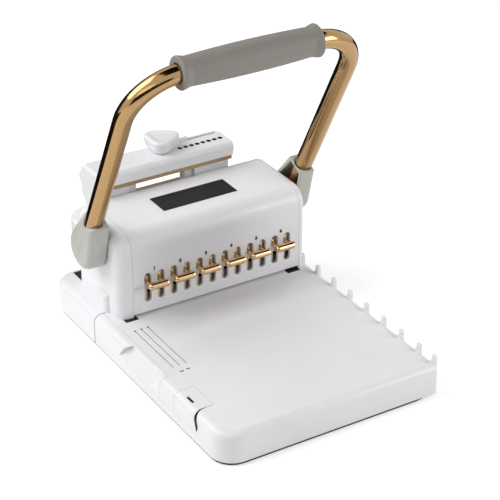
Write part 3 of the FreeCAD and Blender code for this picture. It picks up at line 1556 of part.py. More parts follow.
def wire_section(radius, wire):
    """A spring wire's section, six-sided so that the coil has few faces."""
    sides = 6
    corners = []
    for step in range(sides + 1):
        turn = 2 * math.pi * step / sides
        corners.append(Vector(radius + wire * math.cos(turn), 0, wire * math.sin(turn)))
    return Part.makePolygon(corners)


def return_springs():
    """Two torsion springs wound round the shaft that lift the handle again."""
    coils = []
    radius, wire, turns = value("spring_radius"), value("spring_wire"), value("spring_turns")
    pitch = value("spring_pitch")
    for side in (-1, 1):
        helix = Part.makeHelix(pitch, pitch * turns, radius)
        coil = Part.Wire(helix).makePipeShell([wire_section(radius, wire)], True, False)
        coil.rotate(Vector(), Vector(0, 1, 0), 90)
        coil.translate(Vector(value(f"handle_middle + {side} * spring_spread") - pitch * turns / 2,
                              value("shaft_depth"), value("shaft_height")))
        coils.append(coil)
    part = doc.addObject("Part::Feature", "return_springs")
    part.Shape = Part.makeCompound(coils)
    return keep(part, "return_springs")


def build():
    fill_sheet()
    for make in (front_base, rear_base, front_floor, rear_floor, floor_screws, chip_drawer, edge_guide,
                 hook_strip, rubber_feet, deck_plate, guide_plate, paper_backstop, head_cover, front_strip,
                 top_plaque, tie_rods, shaft_bushes, cross_shaft, shaft_rings, cams, guide_posts,
                 pressure_bar, punch_pins, press_bar, handle_tube, grip, closer_frame, lower_jaw, upper_jaw,
                 closer_cover, closer_end, size_stop, size_knob, frame_screws, return_springs):
        make()
    for side in ("left", "right"):
        head_end(side)
        side_frame(side)
        press_arm(side)
        hub_cup(side)
    for number in range(int(value("slot_count")) // 2):
        pull_key(number)
    doc.recompute()


def check():
    """Stop before anything is written if an object failed or a sub-part has no sound shape."""
    for thing in doc.Objects:
        if {"Invalid", "Error"} & set(thing.State):
            raise RuntimeError(f"{thing.Name} is {thing.State}")
    for part in SUB_PARTS:
        if part.Shape.isNull() or not part.Shape.isValid() or not part.Shape.Solids:
            raise RuntimeError(f"{part.Label} has no sound shape")


def write():
    os.makedirs("parts", exist_ok=True)
    for part in SUB_PARTS:
        part.Shape.exportStep(f"parts/{part.Label}.step")
    print(f"{len(SUB_PARTS)} sub-parts")


build()
check()
write()
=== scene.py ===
"""Dresses the wire binding machine and sets it in a plain studio.

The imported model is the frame: its solids stay where they are and get their finishes here.
Prints, thin inlays and the soft lobed knob are modelled in this file. Lengths are in metres.
"""

import json
import logging
import math
from dataclasses import dataclass
from enum import Enum

import bpy
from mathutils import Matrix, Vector


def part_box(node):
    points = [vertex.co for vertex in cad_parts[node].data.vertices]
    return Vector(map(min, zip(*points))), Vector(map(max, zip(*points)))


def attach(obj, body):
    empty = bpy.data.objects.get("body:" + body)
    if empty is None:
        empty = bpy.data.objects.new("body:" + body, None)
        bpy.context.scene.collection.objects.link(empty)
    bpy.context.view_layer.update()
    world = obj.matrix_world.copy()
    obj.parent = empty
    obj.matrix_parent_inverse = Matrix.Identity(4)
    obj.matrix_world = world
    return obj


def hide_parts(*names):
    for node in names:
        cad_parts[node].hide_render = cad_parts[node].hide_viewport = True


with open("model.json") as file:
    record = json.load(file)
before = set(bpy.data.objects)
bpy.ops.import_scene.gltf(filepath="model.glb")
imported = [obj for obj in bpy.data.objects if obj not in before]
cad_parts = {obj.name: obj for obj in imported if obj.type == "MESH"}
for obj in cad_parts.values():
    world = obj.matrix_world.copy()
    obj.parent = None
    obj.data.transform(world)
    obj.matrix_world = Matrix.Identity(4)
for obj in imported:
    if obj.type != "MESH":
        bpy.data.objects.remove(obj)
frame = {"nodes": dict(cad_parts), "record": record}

log = logging.getLogger("binding_machine")

MACHINE = "machine"

NOISE_LOW = 0.3
NOISE_HIGH = 0.7
PATCH_WAVES = 14.0
PATCH_SHARE = 0.7
MOTTLE_WAVES = 120.0
RUB_WAVES = 30.0
SCRATCH_WAVES = 90.0
SCRATCH_STRETCH = (1.0, 9.0, 5.0)
RELIEF_STRENGTH = 0.6
EDGE_SAMPLES = 4
CORNER_STEPS = 5
LOOKS_UP = 0.9
MERGE_REACH = 0.000002


class Slot(Enum):
    """The material slots that the record names."""

    WHITE_SHELL = "white_shell"
    GREY_FLOOR = "grey_floor"
    BLACK_RUBBER = "black_rubber"
    BLACK_STEEL = "black_steel"
    BLACK_PLATE = "black_plate"
    STEEL = "steel"
    BUSH_BRASS = "bush_brass"
    GOLD_PLATED = "gold_plated"
    KEY_BRASS = "key_brass"
    GRIP_RUBBER = "grip_rubber"
    WARM_GREY_PLASTIC = "warm_grey_plastic"


class Grain(Enum):
    """The kinds of fine relief that a surface can have."""

    SPARK_ERODED = "spark eroded"
    PEBBLED = "pebbled"
    DRAWN = "drawn"
    POWDERED = "powdered"


GRAIN_DETAIL = {Grain.SPARK_ERODED: 5.0, Grain.DRAWN: 8.0, Grain.POWDERED: 1.0}


def to_linear(channel: float) -> float:
    """Turns one channel of a colour as seen on a screen into light."""
    return channel / 12.92 if channel <= 0.04045 else ((channel + 0.055) / 1.055) ** 2.4


def shade(colour: tuple[float, float, float], factor: float) -> tuple[float, float, float, float]:
    """Lightens or darkens a colour.

    Args:
        colour: Red, green and blue as seen on a screen, from 0 to 1.
        factor: What its light is multiplied by.

    Returns:
        Red, green, blue and alpha as light.
    """
    red, green, blue = (min(1.0, to_linear(channel) * factor) for channel in colour)
    return red, green, blue, 1.0


class Bench:
    """A material's node tree, with short ways to add to it."""

    def __init__(self, owner: bpy.types.Material | bpy.types.World, shader: str) -> None:
        """Starts with a node tree that holds only its shader and its output.

        Args:
            owner: The material or world that the tree belongs to.
            shader: The name of its shader node.
        """
        owner.use_nodes = True
        self.owner = owner
        self.tree = owner.node_tree
        self.shader = self.tree.nodes[shader]

    @classmethod
    def for_material(cls, name: str) -> "Bench":
        """Starts a new material."""
        return cls(bpy.data.materials.new(name), "Principled BSDF")

    @classmethod
    def for_world(cls, name: str) -> "Bench":
        """Starts a new world."""
        return cls(bpy.data.worlds.new(name), "Background")

    def add(self, kind: str, **inputs: object) -> bpy.types.Node:
        """Adds a node.

        Args:
            kind: The node's type.
            inputs: Values by socket name, with underscores for spaces. A socket of
                another node is linked, and anything else is set.

        Returns:
            The new node.
        """
        node = self.tree.nodes.new(kind)
        for name, value in inputs.items():
            self.plug(node, name.replace("_", " "), value)
        return node

    def plug(self, node: bpy.types.Node, name: str | int, value: object) -> None:
        """Links a socket to a node's input, or sets the input to a value.

        Args:
            node: The node whose input it is.
            name: The input's name or its number.
            value: The socket, or what the input is set to.
        """
        if isinstance(value, bpy.types.NodeSocket):
            self.tree.links.new(value, node.inputs[name])
        else:
            node.inputs[name].default_value = value

    def reckon(self, operation: str, first: object, second: object = 0.0,
               third: object = 0.0) -> bpy.types.NodeSocket:
        """Works out a sum, a product or the like.

        Args:
            operation: What the Math node does.
            first: Its first value or socket.
            second: Its second value or socket.
            third: Its third value or socket, for an operation that takes three.

        Returns:
            The result.
        """
        node = self.tree.nodes.new("ShaderNodeMath")
        node.operation = operation
        for number, value in enumerate((first, second, third)):
            self.plug(node, number, value)
        return node.outputs[0]

    def place(self, stretch: tuple[float, float, float] = (1.0, 1.0, 1.0)
              ) -> bpy.types.NodeSocket:
        """Gives the place on the object, multiplied along its axes.

        Args:
            stretch: What X, Y and Z are multiplied by, so that less than 1 draws a pattern out.

        Returns:
            The place.
        """
        where = self.add("ShaderNodeTexCoord").outputs["Object"]
        mapping = self.add("ShaderNodeMapping", Vector=where, Scale=stretch)
        return mapping.outputs["Vector"]

    def noise(self, where: bpy.types.NodeSocket, waves: float,
              detail: float) -> bpy.types.NodeSocket:
        """Gives soft noise at so many waves to the metre."""
        node = self.add("ShaderNodeTexNoise", Vector=where, Scale=waves, Detail=detail)
        return node.outputs["Fac"]

    def spread(self, value: bpy.types.NodeSocket, low: float, high: float,
               start: float = NOISE_LOW, end: float = NOISE_HIGH) -> bpy.types.NodeSocket:
        """Maps a value from one range to another.

        Args:
            value: What is mapped.
            low: The result at start.
            high: The result at end.
            start: Where the value's range begins, by default where most noise does.
            end: Where the value's range ends, by default where most noise does.

        Returns:
            The mapped value, kept between low and high.
        """
        node = self.add("ShaderNodeMapRange", Value=value, From_Min=start, From_Max=end,
                        To_Min=low, To_Max=high)
        return node.outputs["Result"]


def matt(name: str, colour: tuple[float, float, float]) -> Bench:
    """Starts a matt material of one colour, for what stands in the studio.

    Args:
        name: The material's name.
        colour: Red, green and blue as seen on a screen.

    Returns:
        The bench of the new material.
    """
    bench = Bench.for_material(name)
    bench.shader.inputs["Base Color"].default_value = shade(colour, 1.0)
    bench.shader.inputs["Roughness"].default_value = 1.0
    bench.shader.inputs["Specular IOR Level"].default_value = 0.0
    return bench


@dataclass(frozen=True)
class Finish:
    """What a surface is made of and how it has been worked.

    Grain and scuffs have a depth or a strength, and the drifts say how far the colour and the
    roughness wander. A finish with names in only_on is for those pieces of its slot alone.
    """

    slot: Slot
    colour: tuple[float, float, float]
    roughness: float
    grain: Grain
    grain_waves: float
    grain_depth: float
    metallic: float = 0.0
    coat: float = 0.0
    shine: float = 0.5
    colour_drift: float = 0.03
    roughness_drift: float = 0.08
    scuffs: float = 0.15
    edge_radius: float = 0.00025
    stretch: tuple[float, float, float] = (1.0, 1.0, 1.0)
    only_on: tuple[str, ...] = ()

    def material(self) -> bpy.types.Material:
        """Makes the finish as a procedural material.

        Returns:
            The new material.
        """
        bench = Bench.for_material(self.slot.value)
        bench.shader.inputs["Metallic"].default_value = self.metallic
        bench.shader.inputs["Coat Weight"].default_value = self.coat
        bench.shader.inputs["Specular IOR Level"].default_value = self.shine
        bench.plug(bench.shader, "Base Color", self._colours(bench))
        bench.plug(bench.shader, "Roughness", self._roughnesses(bench))
        bench.plug(bench.shader, "Normal", self._relief(bench))
        return bench.owner

    def _colours(self, bench: Bench) -> bpy.types.NodeSocket:
        """Lets the colour drift over patches as wide as a hand and as a fingertip.

        Args:
            bench: The material's bench.

        Returns:
            The drifting colour.
        """
        broad = bench.noise(bench.place(), PATCH_WAVES, detail=2.0)
        fine = bench.noise(bench.place(), MOTTLE_WAVES, detail=4.0)
        mixed = bench.reckon("MULTIPLY_ADD", broad, PATCH_SHARE,
                             bench.reckon("MULTIPLY", fine, 1.0 - PATCH_SHARE))
        ramp = bench.add("ShaderNodeValToRGB", Fac=mixed)
        dark, light = ramp.color_ramp.elements
        dark.position, light.position = NOISE_LOW, NOISE_HIGH
        dark.color = shade(self.colour, 1.0 - self.colour_drift)
        light.color = shade(self.colour, 1.0 + self.colour_drift)
        return ramp.outputs["Color"]

    def _roughnesses(self, bench: Bench) -> bpy.types.NodeSocket:
        """Rubs the surface smoother in patches and scuffs it with short scratches.

        Args:
            bench: The material's bench.

        Returns:
            The roughness.
        """
        patches = bench.spread(bench.noise(bench.place(), RUB_WAVES, detail=3.0),
                               low=self.roughness - self.roughness_drift,
                               high=self.roughness + self.roughness_drift)
        along = bench.noise(bench.place(SCRATCH_STRETCH), SCRATCH_WAVES, detail=6.0)
        scratches = bench.spread(along, low=0.0, high=self.scuffs, start=0.62, end=0.72)
        return bench.reckon("MINIMUM", bench.reckon("ADD", patches, scratches), 1.0)

    def _relief(self, bench: Bench) -> bpy.types.NodeSocket:
        """Raises the grain on a normal that turns softly over the edges.

        Args:
            bench: The material's bench.

        Returns:
            The normal.
        """
        edge = bench.add("ShaderNodeBevel", Radius=self.edge_radius)
        edge.samples = EDGE_SAMPLES
        bump = bench.add("ShaderNodeBump", Height=self._height(bench),
                         Normal=edge.outputs["Normal"], Strength=RELIEF_STRENGTH,
                         Distance=self.grain_depth)
        return bump.outputs["Normal"]

    def _height(self, bench: Bench) -> bpy.types.NodeSocket:
        """Shapes the grain.

        Args:
            bench: The material's bench.

        Returns:
            The grain's height, from 0 to 1.
        """
        where = bench.place(self.stretch)
        if self.grain is Grain.PEBBLED:
            cells = bench.add("ShaderNodeTexVoronoi", Vector=where, Scale=self.grain_waves)
            cells.feature = "SMOOTH_F1"
            return cells.outputs["Distance"]
        return bench.noise(where, self.grain_waves, GRAIN_DETAIL[self.grain])


FINISHES = (
    Finish(Slot.WHITE_SHELL, colour=(0.93, 0.93, 0.94), roughness=0.36, coat=0.12,
           grain=Grain.SPARK_ERODED, grain_waves=1600.0, grain_depth=0.00006),
    Finish(Slot.GREY_FLOOR, colour=(0.62, 0.62, 0.63), roughness=0.55,
           grain=Grain.SPARK_ERODED, grain_waves=1300.0, grain_depth=0.0001),
    Finish(Slot.BLACK_RUBBER, colour=(0.07, 0.07, 0.072), roughness=0.78,
           grain=Grain.PEBBLED, grain_waves=1500.0, grain_depth=0.0001),
    Finish(Slot.BLACK_STEEL, colour=(0.09, 0.09, 0.095), roughness=0.42, shine=0.3,
           grain=Grain.POWDERED, grain_waves=1100.0, grain_depth=0.00005),
    Finish(Slot.BLACK_PLATE, colour=(0.04, 0.04, 0.043), roughness=0.5, shine=0.2,
           grain=Grain.POWDERED, grain_waves=1400.0, grain_depth=0.00004),
    Finish(Slot.STEEL, colour=(0.66, 0.64, 0.61), roughness=0.3, metallic=1.0,
           grain=Grain.DRAWN, grain_waves=400.0, grain_depth=0.00003, stretch=(4.0, 4.0, 0.2)),
    # Painted light: the punch pins and their guide plate get a pale, non-metal copy of the steel,
    # lighter than the steel itself, so that they read as lit through the slots.
    Finish(Slot.STEEL, colour=(0.88, 0.82, 0.72), roughness=0.34, coat=0.3,
           grain=Grain.DRAWN, grain_waves=400.0, grain_depth=0.00003, stretch=(4.0, 4.0, 0.2),
           only_on=("punch_pins", "punch_guide_plate")),
    Finish(Slot.BUSH_BRASS, colour=(0.72, 0.58, 0.34), roughness=0.34, metallic=1.0,
           grain=Grain.DRAWN, grain_waves=700.0, grain_depth=0.00003, stretch=(0.3, 3.0, 3.0)),
    Finish(Slot.GOLD_PLATED, colour=(0.69, 0.555, 0.385), roughness=0.13, metallic=1.0,
           roughness_drift=0.04, scuffs=0.08,
           grain=Grain.DRAWN, grain_waves=260.0, grain_depth=0.00002, stretch=(1.0, 1.0, 0.3)),
    Finish(Slot.GOLD_PLATED, colour=(0.62, 0.53, 0.41), roughness=0.3, metallic=1.0,
           grain=Grain.DRAWN, grain_waves=260.0, grain_depth=0.00002, stretch=(0.3, 1.0, 1.0),
           only_on=("upper_jaw", "lower_jaw", "press_bar")),
    Finish(Slot.KEY_BRASS, colour=(0.86, 0.72, 0.55), roughness=0.12, metallic=1.0,
           roughness_drift=0.04, scuffs=0.06,
           grain=Grain.DRAWN, grain_waves=300.0, grain_depth=0.00002, stretch=(0.3, 1.0, 1.0)),
    Finish(Slot.GRIP_RUBBER, colour=(0.55, 0.53, 0.505), roughness=0.6, scuffs=0.1,
           grain=Grain.PEBBLED, grain_waves=1100.0, grain_depth=0.00012),
    Finish(Slot.WARM_GREY_PLASTIC, colour=(0.75, 0.745, 0.72), roughness=0.42,
           edge_radius=0.0022,
           grain=Grain.SPARK_ERODED, grain_waves=1500.0, grain_depth=0.00006),
)


class FinishRack:
    """Holds one material for each finish, so that all its pieces share it."""

    def __init__(self) -> None:
        """Makes every finish once."""
        self._shared: dict[Slot, bpy.types.Material] = {}
        self._own: dict[str, bpy.types.Material] = {}
        for finish in FINISHES:
            material = finish.material()
            if finish.only_on:
                self._own.update((name, material) for name in finish.only_on)
            else:
                self._shared[finish.slot] = material

    def dress(self, piece: bpy.types.Object, slot: Slot) -> None:
        """Puts a finish on a piece.

        Args:
            piece: The object that gets it.
            slot: The finish's slot.
        """
        material = self._own.get(piece.name, self._shared[slot])
        if piece.material_slots:
            for place in piece.material_slots:
                place.material = material
        else:
            piece.data.materials.append(material)


def pick(piece: bpy.types.Object) -> None:
    """Selects one piece alone and makes it the active one.

    Args:
        piece: What is selected.
    """
    bpy.ops.object.select_all(action="DESELECT")
    piece.select_set(True)
    bpy.context.view_layer.objects.active = piece


def fix_place(piece: bpy.types.Object) -> None:
    """Puts the piece's place into its mesh, so that its object sits at the origin."""
    pick(piece)
    bpy.ops.object.transform_apply(location=True, rotation=True, scale=True)


def raise_ink(piece: bpy.types.Object, thickness: float) -> None:
    """Gives a flat printed shape the thickness of its ink.

    Args:
        piece: A flat piece whose faces look up.
        thickness: How far the ink stands off its ground.
    """
    pick(piece)
    bpy.ops.object.mode_set(mode="EDIT")
    bpy.ops.mesh.select_all(action="SELECT")
    bpy.ops.mesh.extrude_region_move(TRANSFORM_OT_translate={"value": (0.0, 0.0, thickness)})
    bpy.ops.mesh.select_all(action="SELECT")
    bpy.ops.mesh.normals_make_consistent(inside=False)
    bpy.ops.object.mode_set(mode="OBJECT")


def rounded_sheet(size: tuple[float, float], at: tuple[float, float, float],
                  rounding: float) -> bpy.types.Object:
    """Lays a flat sheet with rounded corners.

    Args:
        size: How long it is along X and along Y.
        at: Its middle.
        rounding: The radius of its corners.

    Returns:
        The sheet, with its place in its mesh.
    """
    bpy.ops.object.select_all(action="DESELECT")
    bpy.ops.mesh.primitive_plane_add(size=1.0, location=at)
    sheet = bpy.context.object
    bpy.ops.object.mode_set(mode="EDIT")
    bpy.ops.mesh.select_all(action="SELECT")
    bpy.ops.transform.resize(value=(size[0], size[1], 1.0))
    bpy.ops.mesh.bevel(offset=rounding, segments=CORNER_STEPS, affect="VERTICES")
    bpy.ops.object.mode_set(mode="OBJECT")
    fix_place(sheet)
    return sheet


def printed_bar(size: tuple[float, float], at: tuple[float, float, float],
                rounding: float, thickness: float) -> bpy.types.Object:
    """Prints a bar with rounded corners, lying flat.

    Args:
        size: How long it is along X and along Y.
        at: The middle of its underside.
        rounding: The radius of its corners.
        thickness: The thickness of the ink.

    Returns:
        The bar, with its place in its mesh.
    """
    bar = rounded_sheet(size, at, rounding)
    raise_ink(bar, thickness)
    return bar


def gather(name: str, pieces: list[bpy.types.Object]) -> bpy.types.Object:
    """Joins small pieces of one kind into one object.

    Args:
        name: The object's name.
        pieces: What is joined.

    Returns:
        The joined object.
    """
    bpy.ops.object.select_all(action="DESELECT")
    for piece in pieces:
        piece.select_set(True)
    bpy.context.view_layer.objects.active = pieces[0]
    bpy.ops.object.join()
    whole = bpy.context.object
    whole.name = name
    whole.data.name = name
    return whole


def copy_to(piece: bpy.types.Object, shift: tuple[float, float, float]) -> bpy.types.Object:
    """Copies a piece with its own mesh and moves the copy.

    Args:
        piece: What is copied.
        shift: How far the copy moves.

    Returns:
        The copy, with its place in its mesh.
    """
    pick(piece)
    bpy.ops.object.duplicate(linked=False)
    twin = bpy.context.object
    bpy.ops.transform.translate(value=shift)
    fix_place(twin)
    return twin


def settle(piece: bpy.types.Object, body: str, rack: FinishRack, slot: Slot) -> None:
    """Dresses a new piece, names its slot, sets it on its body and reports it.

    Args:
        piece: The finished piece.
        body: The body that carries it.
        rack: Where the materials are kept.
        slot: The piece's finish.
    """
    rack.dress(piece, slot)
    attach(piece, body)
    log.info("%s rides on %s, finished as %s", piece.name, body, slot.value)


@dataclass
class Solids:
    """The solids that come with the frame."""

    rack: FinishRack

    def dress(self) -> None:
        """Gives each solid the finish of its slot."""
        for part in frame["record"]["subparts"]:
            node = frame["nodes"][part["node"]]
            slot = Slot(part["material_slot"])
            self.rack.dress(node, slot)
            log.info("%s finished as %s", part["node"], slot.value)


@dataclass
class SlotNumbers:
    """The numbers 1 to 6, printed on the punch panel above the pull keys.

    A digit takes its share of the font's line, and it starts sunk a little into the panel.
    """

    rack: FinishRack
    first: float = -0.0585
    pitch: float = 0.0254
    count: int = 6
    level: float = 0.0724
    height: float = 0.0031
    share_of_line: float = 0.72
    boldness: float = 0.00032
    ink: float = 0.00005
    sink: float = 0.00002

    def build(self) -> bpy.types.Object:
        """Prints the numbers.

        Returns:
            All numbers as one piece.
        """
        digits = [self._digit(index) for index in range(self.count)]
        numbers = gather("slot_numbers", digits)
        settle(numbers, MACHINE, self.rack, Slot.BLACK_PLATE)
        return numbers

    def _digit(self, index: int) -> bpy.types.Object:
        """Prints one number on the front of the panel.

        Args:
            index: Its place in the row, from 0.

        Returns:
            The number.
        """
        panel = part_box("front_strip")[0][1]
        bpy.ops.object.select_all(action="DESELECT")
        at = (self.first + index * self.pitch, panel - self.sink, self.level)
        bpy.ops.object.text_add(location=at, rotation=(math.radians(90.0), 0.0, 0.0))
        digit = bpy.context.object
        digit.data.body = str(index + 1)
        digit.data.size = self.height / self.share_of_line
        digit.data.align_x = "CENTER"
        digit.data.align_y = "CENTER"
        digit.data.offset = self.boldness
        digit.data.extrude = self.ink
        pick(digit)
        bpy.ops.object.convert(target="MESH")
        fix_place(digit)
        return digit


@dataclass
class TrayPrint:
    """The fine guide lines printed on the tray, with their end marks and bare labels."""

    rack: FinishRack
    lines: tuple[float, ...] = (-0.0892, -0.0831, -0.0768)
    rear: float = 0.0215
    front: float = -0.0448
    line_width: float = 0.00045
    line_round: float = 0.0001
    mark_size: tuple[float, float] = (0.0020, 0.0014)
    mark_round: float = 0.0004
    labels: tuple[tuple[float, float], ...] = ((-0.0858, -0.0530), (-0.0797, -0.0523))
    label_size: tuple[float, float] = (0.0034, 0.0013)
    label_round: float = 0.0003
    ink: float = 0.00004

    def build(self) -> bpy.types.Object:
        """Prints the lines, marks and labels.

        Returns:
            The whole print as one piece.
        """
        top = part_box("front_base")[1][2]
        middle = (self.rear + self.front) / 2.0
        line_size = (self.line_width, self.rear - self.front)
        bars = [printed_bar(line_size, (x, middle, top), self.line_round, self.ink)
                for x in self.lines]
        bars += [printed_bar(self.mark_size, (x, self.rear, top), self.mark_round, self.ink)
                 for x in self.lines]
        bars += [printed_bar(self.label_size, (x, y, top), self.label_round, self.ink)
                 for x, y in self.labels]
        tray_print = gather("tray_lines", bars)
        settle(tray_print, MACHINE, self.rack, Slot.BLACK_PLATE)
        return tray_print


@dataclass
class StopScale:
    """The row of dots on the closer's cover, beside the slot of the size stop."""

    rack: FinishRack
    first: float = 0.0175
    last: float = 0.0589
    count: int = 8
    row: float = 0.1295
    radius: float = 0.0023
    sides: int = 28
    ink: float = 0.00004

    def build(self) -> bpy.types.Object:
        """Prints one dot and copies it along the row.

        Returns:
            The row as one piece.
        """
        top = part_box("closer_cover")[1][2]
        bpy.ops.object.select_all(action="DESELECT")
        bpy.ops.mesh.primitive_circle_add(vertices=self.sides, radius=self.radius,
                                          fill_type="NGON", location=(self.first, self.row, top))
        dot = bpy.context.object
        fix_place(dot)
        raise_ink(dot, self.ink)
        pitch = (self.last - self.first) / (self.count - 1)
        copies = [copy_to(dot, (pitch * step, 0.0, 0.0)) for step in range(1, self.count)]
        scale = gather("stop_scale", [dot, *copies])
        settle(scale, MACHINE, self.rack, Slot.BLACK_PLATE)
        return scale


@dataclass
class GuideMark:
    """The black mark in the pocket of the edge guide."""

    rack: FinishRack
    centre: tuple[float, float] = (-0.1006, -0.0927)
    size: tuple[float, float] = (0.0020, 0.0094)
    rounding: float = 0.00095
    pocket_depth: float = 0.0006
    ink: float = 0.00006

    def build(self) -> bpy.types.Object:
        """Fills the pocket with black.

        Returns:
            The mark.
        """
        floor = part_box("edge_guide")[1][2] - self.pocket_depth
        mark = printed_bar(self.size, (*self.centre, floor), self.rounding, self.ink)
        mark.name = "guide_mark"
        settle(mark, "edge_guide", self.rack, Slot.BLACK_PLATE)
        return mark


@dataclass
class PaintedGapShade:
    """Painted shade of the slit in front of the edge guide, laid on the base as a black inlay.

    It starts thin at the guide's inner corner, runs over the rounded edge of the base and is
    widest on its side. The rim is how far it has drawn away from the guide at its foot, and
    the lean puts the widest place towards the foot.
    """

    rack: FinishRack
    inner: float = -0.0883
    clearance: float = 0.0003
    rim: float = 0.0050
    foot: float = 0.0135
    widest: float = 0.0046
    lean: float = 2.65
    edge_round: float = 0.007
    thickness: float = 0.00012
    steps: int = 30

    def build(self) -> bpy.types.Object:
        """Bends a strip over the edge of the base.

        Returns:
            The painted shade, as a black inlay.
        """
        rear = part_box("edge_guide")[0][1] - self.clearance
        # The black strip is painted shade: it stands in for the shadow inside the slit in front
        # of the guide.
        bpy.ops.object.select_all(action="DESELECT")
        bpy.ops.mesh.primitive_grid_add(x_subdivisions=self.steps, y_subdivisions=1, size=1.0)
        gap_shade = bpy.context.object
        gap_shade.name = "guide_gap_painted_shade"
        for vertex in gap_shade.data.vertices:
            share = vertex.co.x + 0.5
            swell = share ** self.lean
            width = 0.0 if vertex.co.y > 0.0 else self.widest * math.sin(math.pi * swell)
            x, z = self._edge(share)
            vertex.co = (x, rear - self.rim * swell - width, z)
        skin = gap_shade.modifiers.new("ink", "SOLIDIFY")
        skin.thickness = self.thickness
        skin.offset = 0.0
        pick(gap_shade)
        bpy.ops.object.modifier_apply(modifier=skin.name)
        bpy.ops.object.mode_set(mode="EDIT")
        bpy.ops.mesh.select_all(action="SELECT")
        bpy.ops.mesh.remove_doubles(threshold=MERGE_REACH)
        bpy.ops.mesh.normals_make_consistent(inside=False)
        bpy.ops.object.mode_set(mode="OBJECT")
        settle(gap_shade, MACHINE, self.rack, Slot.BLACK_PLATE)
        return gap_shade

    def _edge(self, share: float) -> tuple[float, float]:
        """Walks over the edge of the base.

        Args:
            share: How far, from 0 at the inner corner to 1 at the foot.

        Returns:
            The place there, in X and Z.
        """
        low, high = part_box("front_base")
        left, top = low[0], high[2]
        flat = self.inner - left - self.edge_round
        bend = self.edge_round * math.pi / 2.0
        way = share * (flat + bend + top - self.edge_round - self.foot)
        if way < flat:
            return self.inner - way, top
        turn = min((way - flat) / self.edge_round, math.pi / 2.0)
        below = max(way - flat - bend, 0.0)
        return (left + self.edge_round * (1.0 - math.sin(turn)),
                top - self.edge_round * (1.0 - math.cos(turn)) - below)


@dataclass
class TrayLip:
    """The tray's rear edge, which runs a little under the head so that paper slides in."""

    rack: FinishRack
    left: float = -0.0769
    right: float = 0.0740
    front: float = 0.0422
    rear: float = 0.0460
    rounding: float = 0.0005
    thickness: float = 0.00005

    def build(self) -> bpy.types.Object:
        """Lays the lip on the deck.

        Returns:
            The lip.
        """
        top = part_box("deck_plate")[1][2]
        size = (self.right - self.left, self.rear - self.front)
        middle = ((self.left + self.right) / 2.0, (self.front + self.rear) / 2.0, top)
        lip = printed_bar(size, middle, self.rounding, self.thickness)
        lip.name = "tray_lip"
        settle(lip, MACHINE, self.rack, Slot.WHITE_SHELL)
        return lip


@dataclass
class PartingShadeLine:
    """Painted shade of the seam where the front and rear halves of the base meet, as a fine dark
    line.
    """

    rack: FinishRack
    inner: float = -0.0965
    edge_round: float = 0.007
    width: float = 0.0005
    foot_gap: float = 0.0002
    right_drop: float = 0.0015
    steps: int = 8

    def build(self) -> bpy.types.Object:
        """Runs the line down the left side from the top, and up the right side.

        Returns:
            The line as one piece.
        """
        low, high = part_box("rear_base")
        left, seam, right, top = low[0], low[1], high[0], high[2]
        foot = low[2] + self.foot_gap
        turn = math.pi / 2.0 / self.steps
        bend = [(left + self.edge_round * (1.0 - math.sin(turn * step)),
                 top - self.edge_round * (1.0 - math.cos(turn * step)))
                for step in range(self.steps + 1)]
        sides = [self._strip(seam, [(self.inner, top), *bend, (left, foot)]),
                 self._strip(seam, [(right, top - self.right_drop), (right, foot)])]
        # The dark line is painted shade in the seam between the two halves.
        line = gather("parting_shade_line", sides)
        settle(line, MACHINE, self.rack, Slot.BLACK_PLATE)
        return line

    def _strip(self, seam: float, path: list[tuple[float, float]]) -> bpy.types.Object:
        """Draws a round line in the seam's plane.

        Args:
            seam: Where the plane lies along Y.
            path: The line's points, in X and Z.

        Returns:
            The line.
        """
        bpy.ops.object.select_all(action="DESELECT")
        bpy.ops.curve.primitive_nurbs_path_add(location=(0.0, 0.0, 0.0))
        strip = bpy.context.object
        strip.data.splines.clear()
        spline = strip.data.splines.new("POLY")
        spline.points.add(len(path) - 1)
        for point, (x, z) in zip(spline.points, path):
            point.co = (x, seam, z, 1.0)
        strip.data.bevel_depth = self.width / 2.0
        strip.data.bevel_resolution = 1
        strip.data.use_fill_caps = True
        pick(strip)
        bpy.ops.object.convert(target="MESH")
        return strip


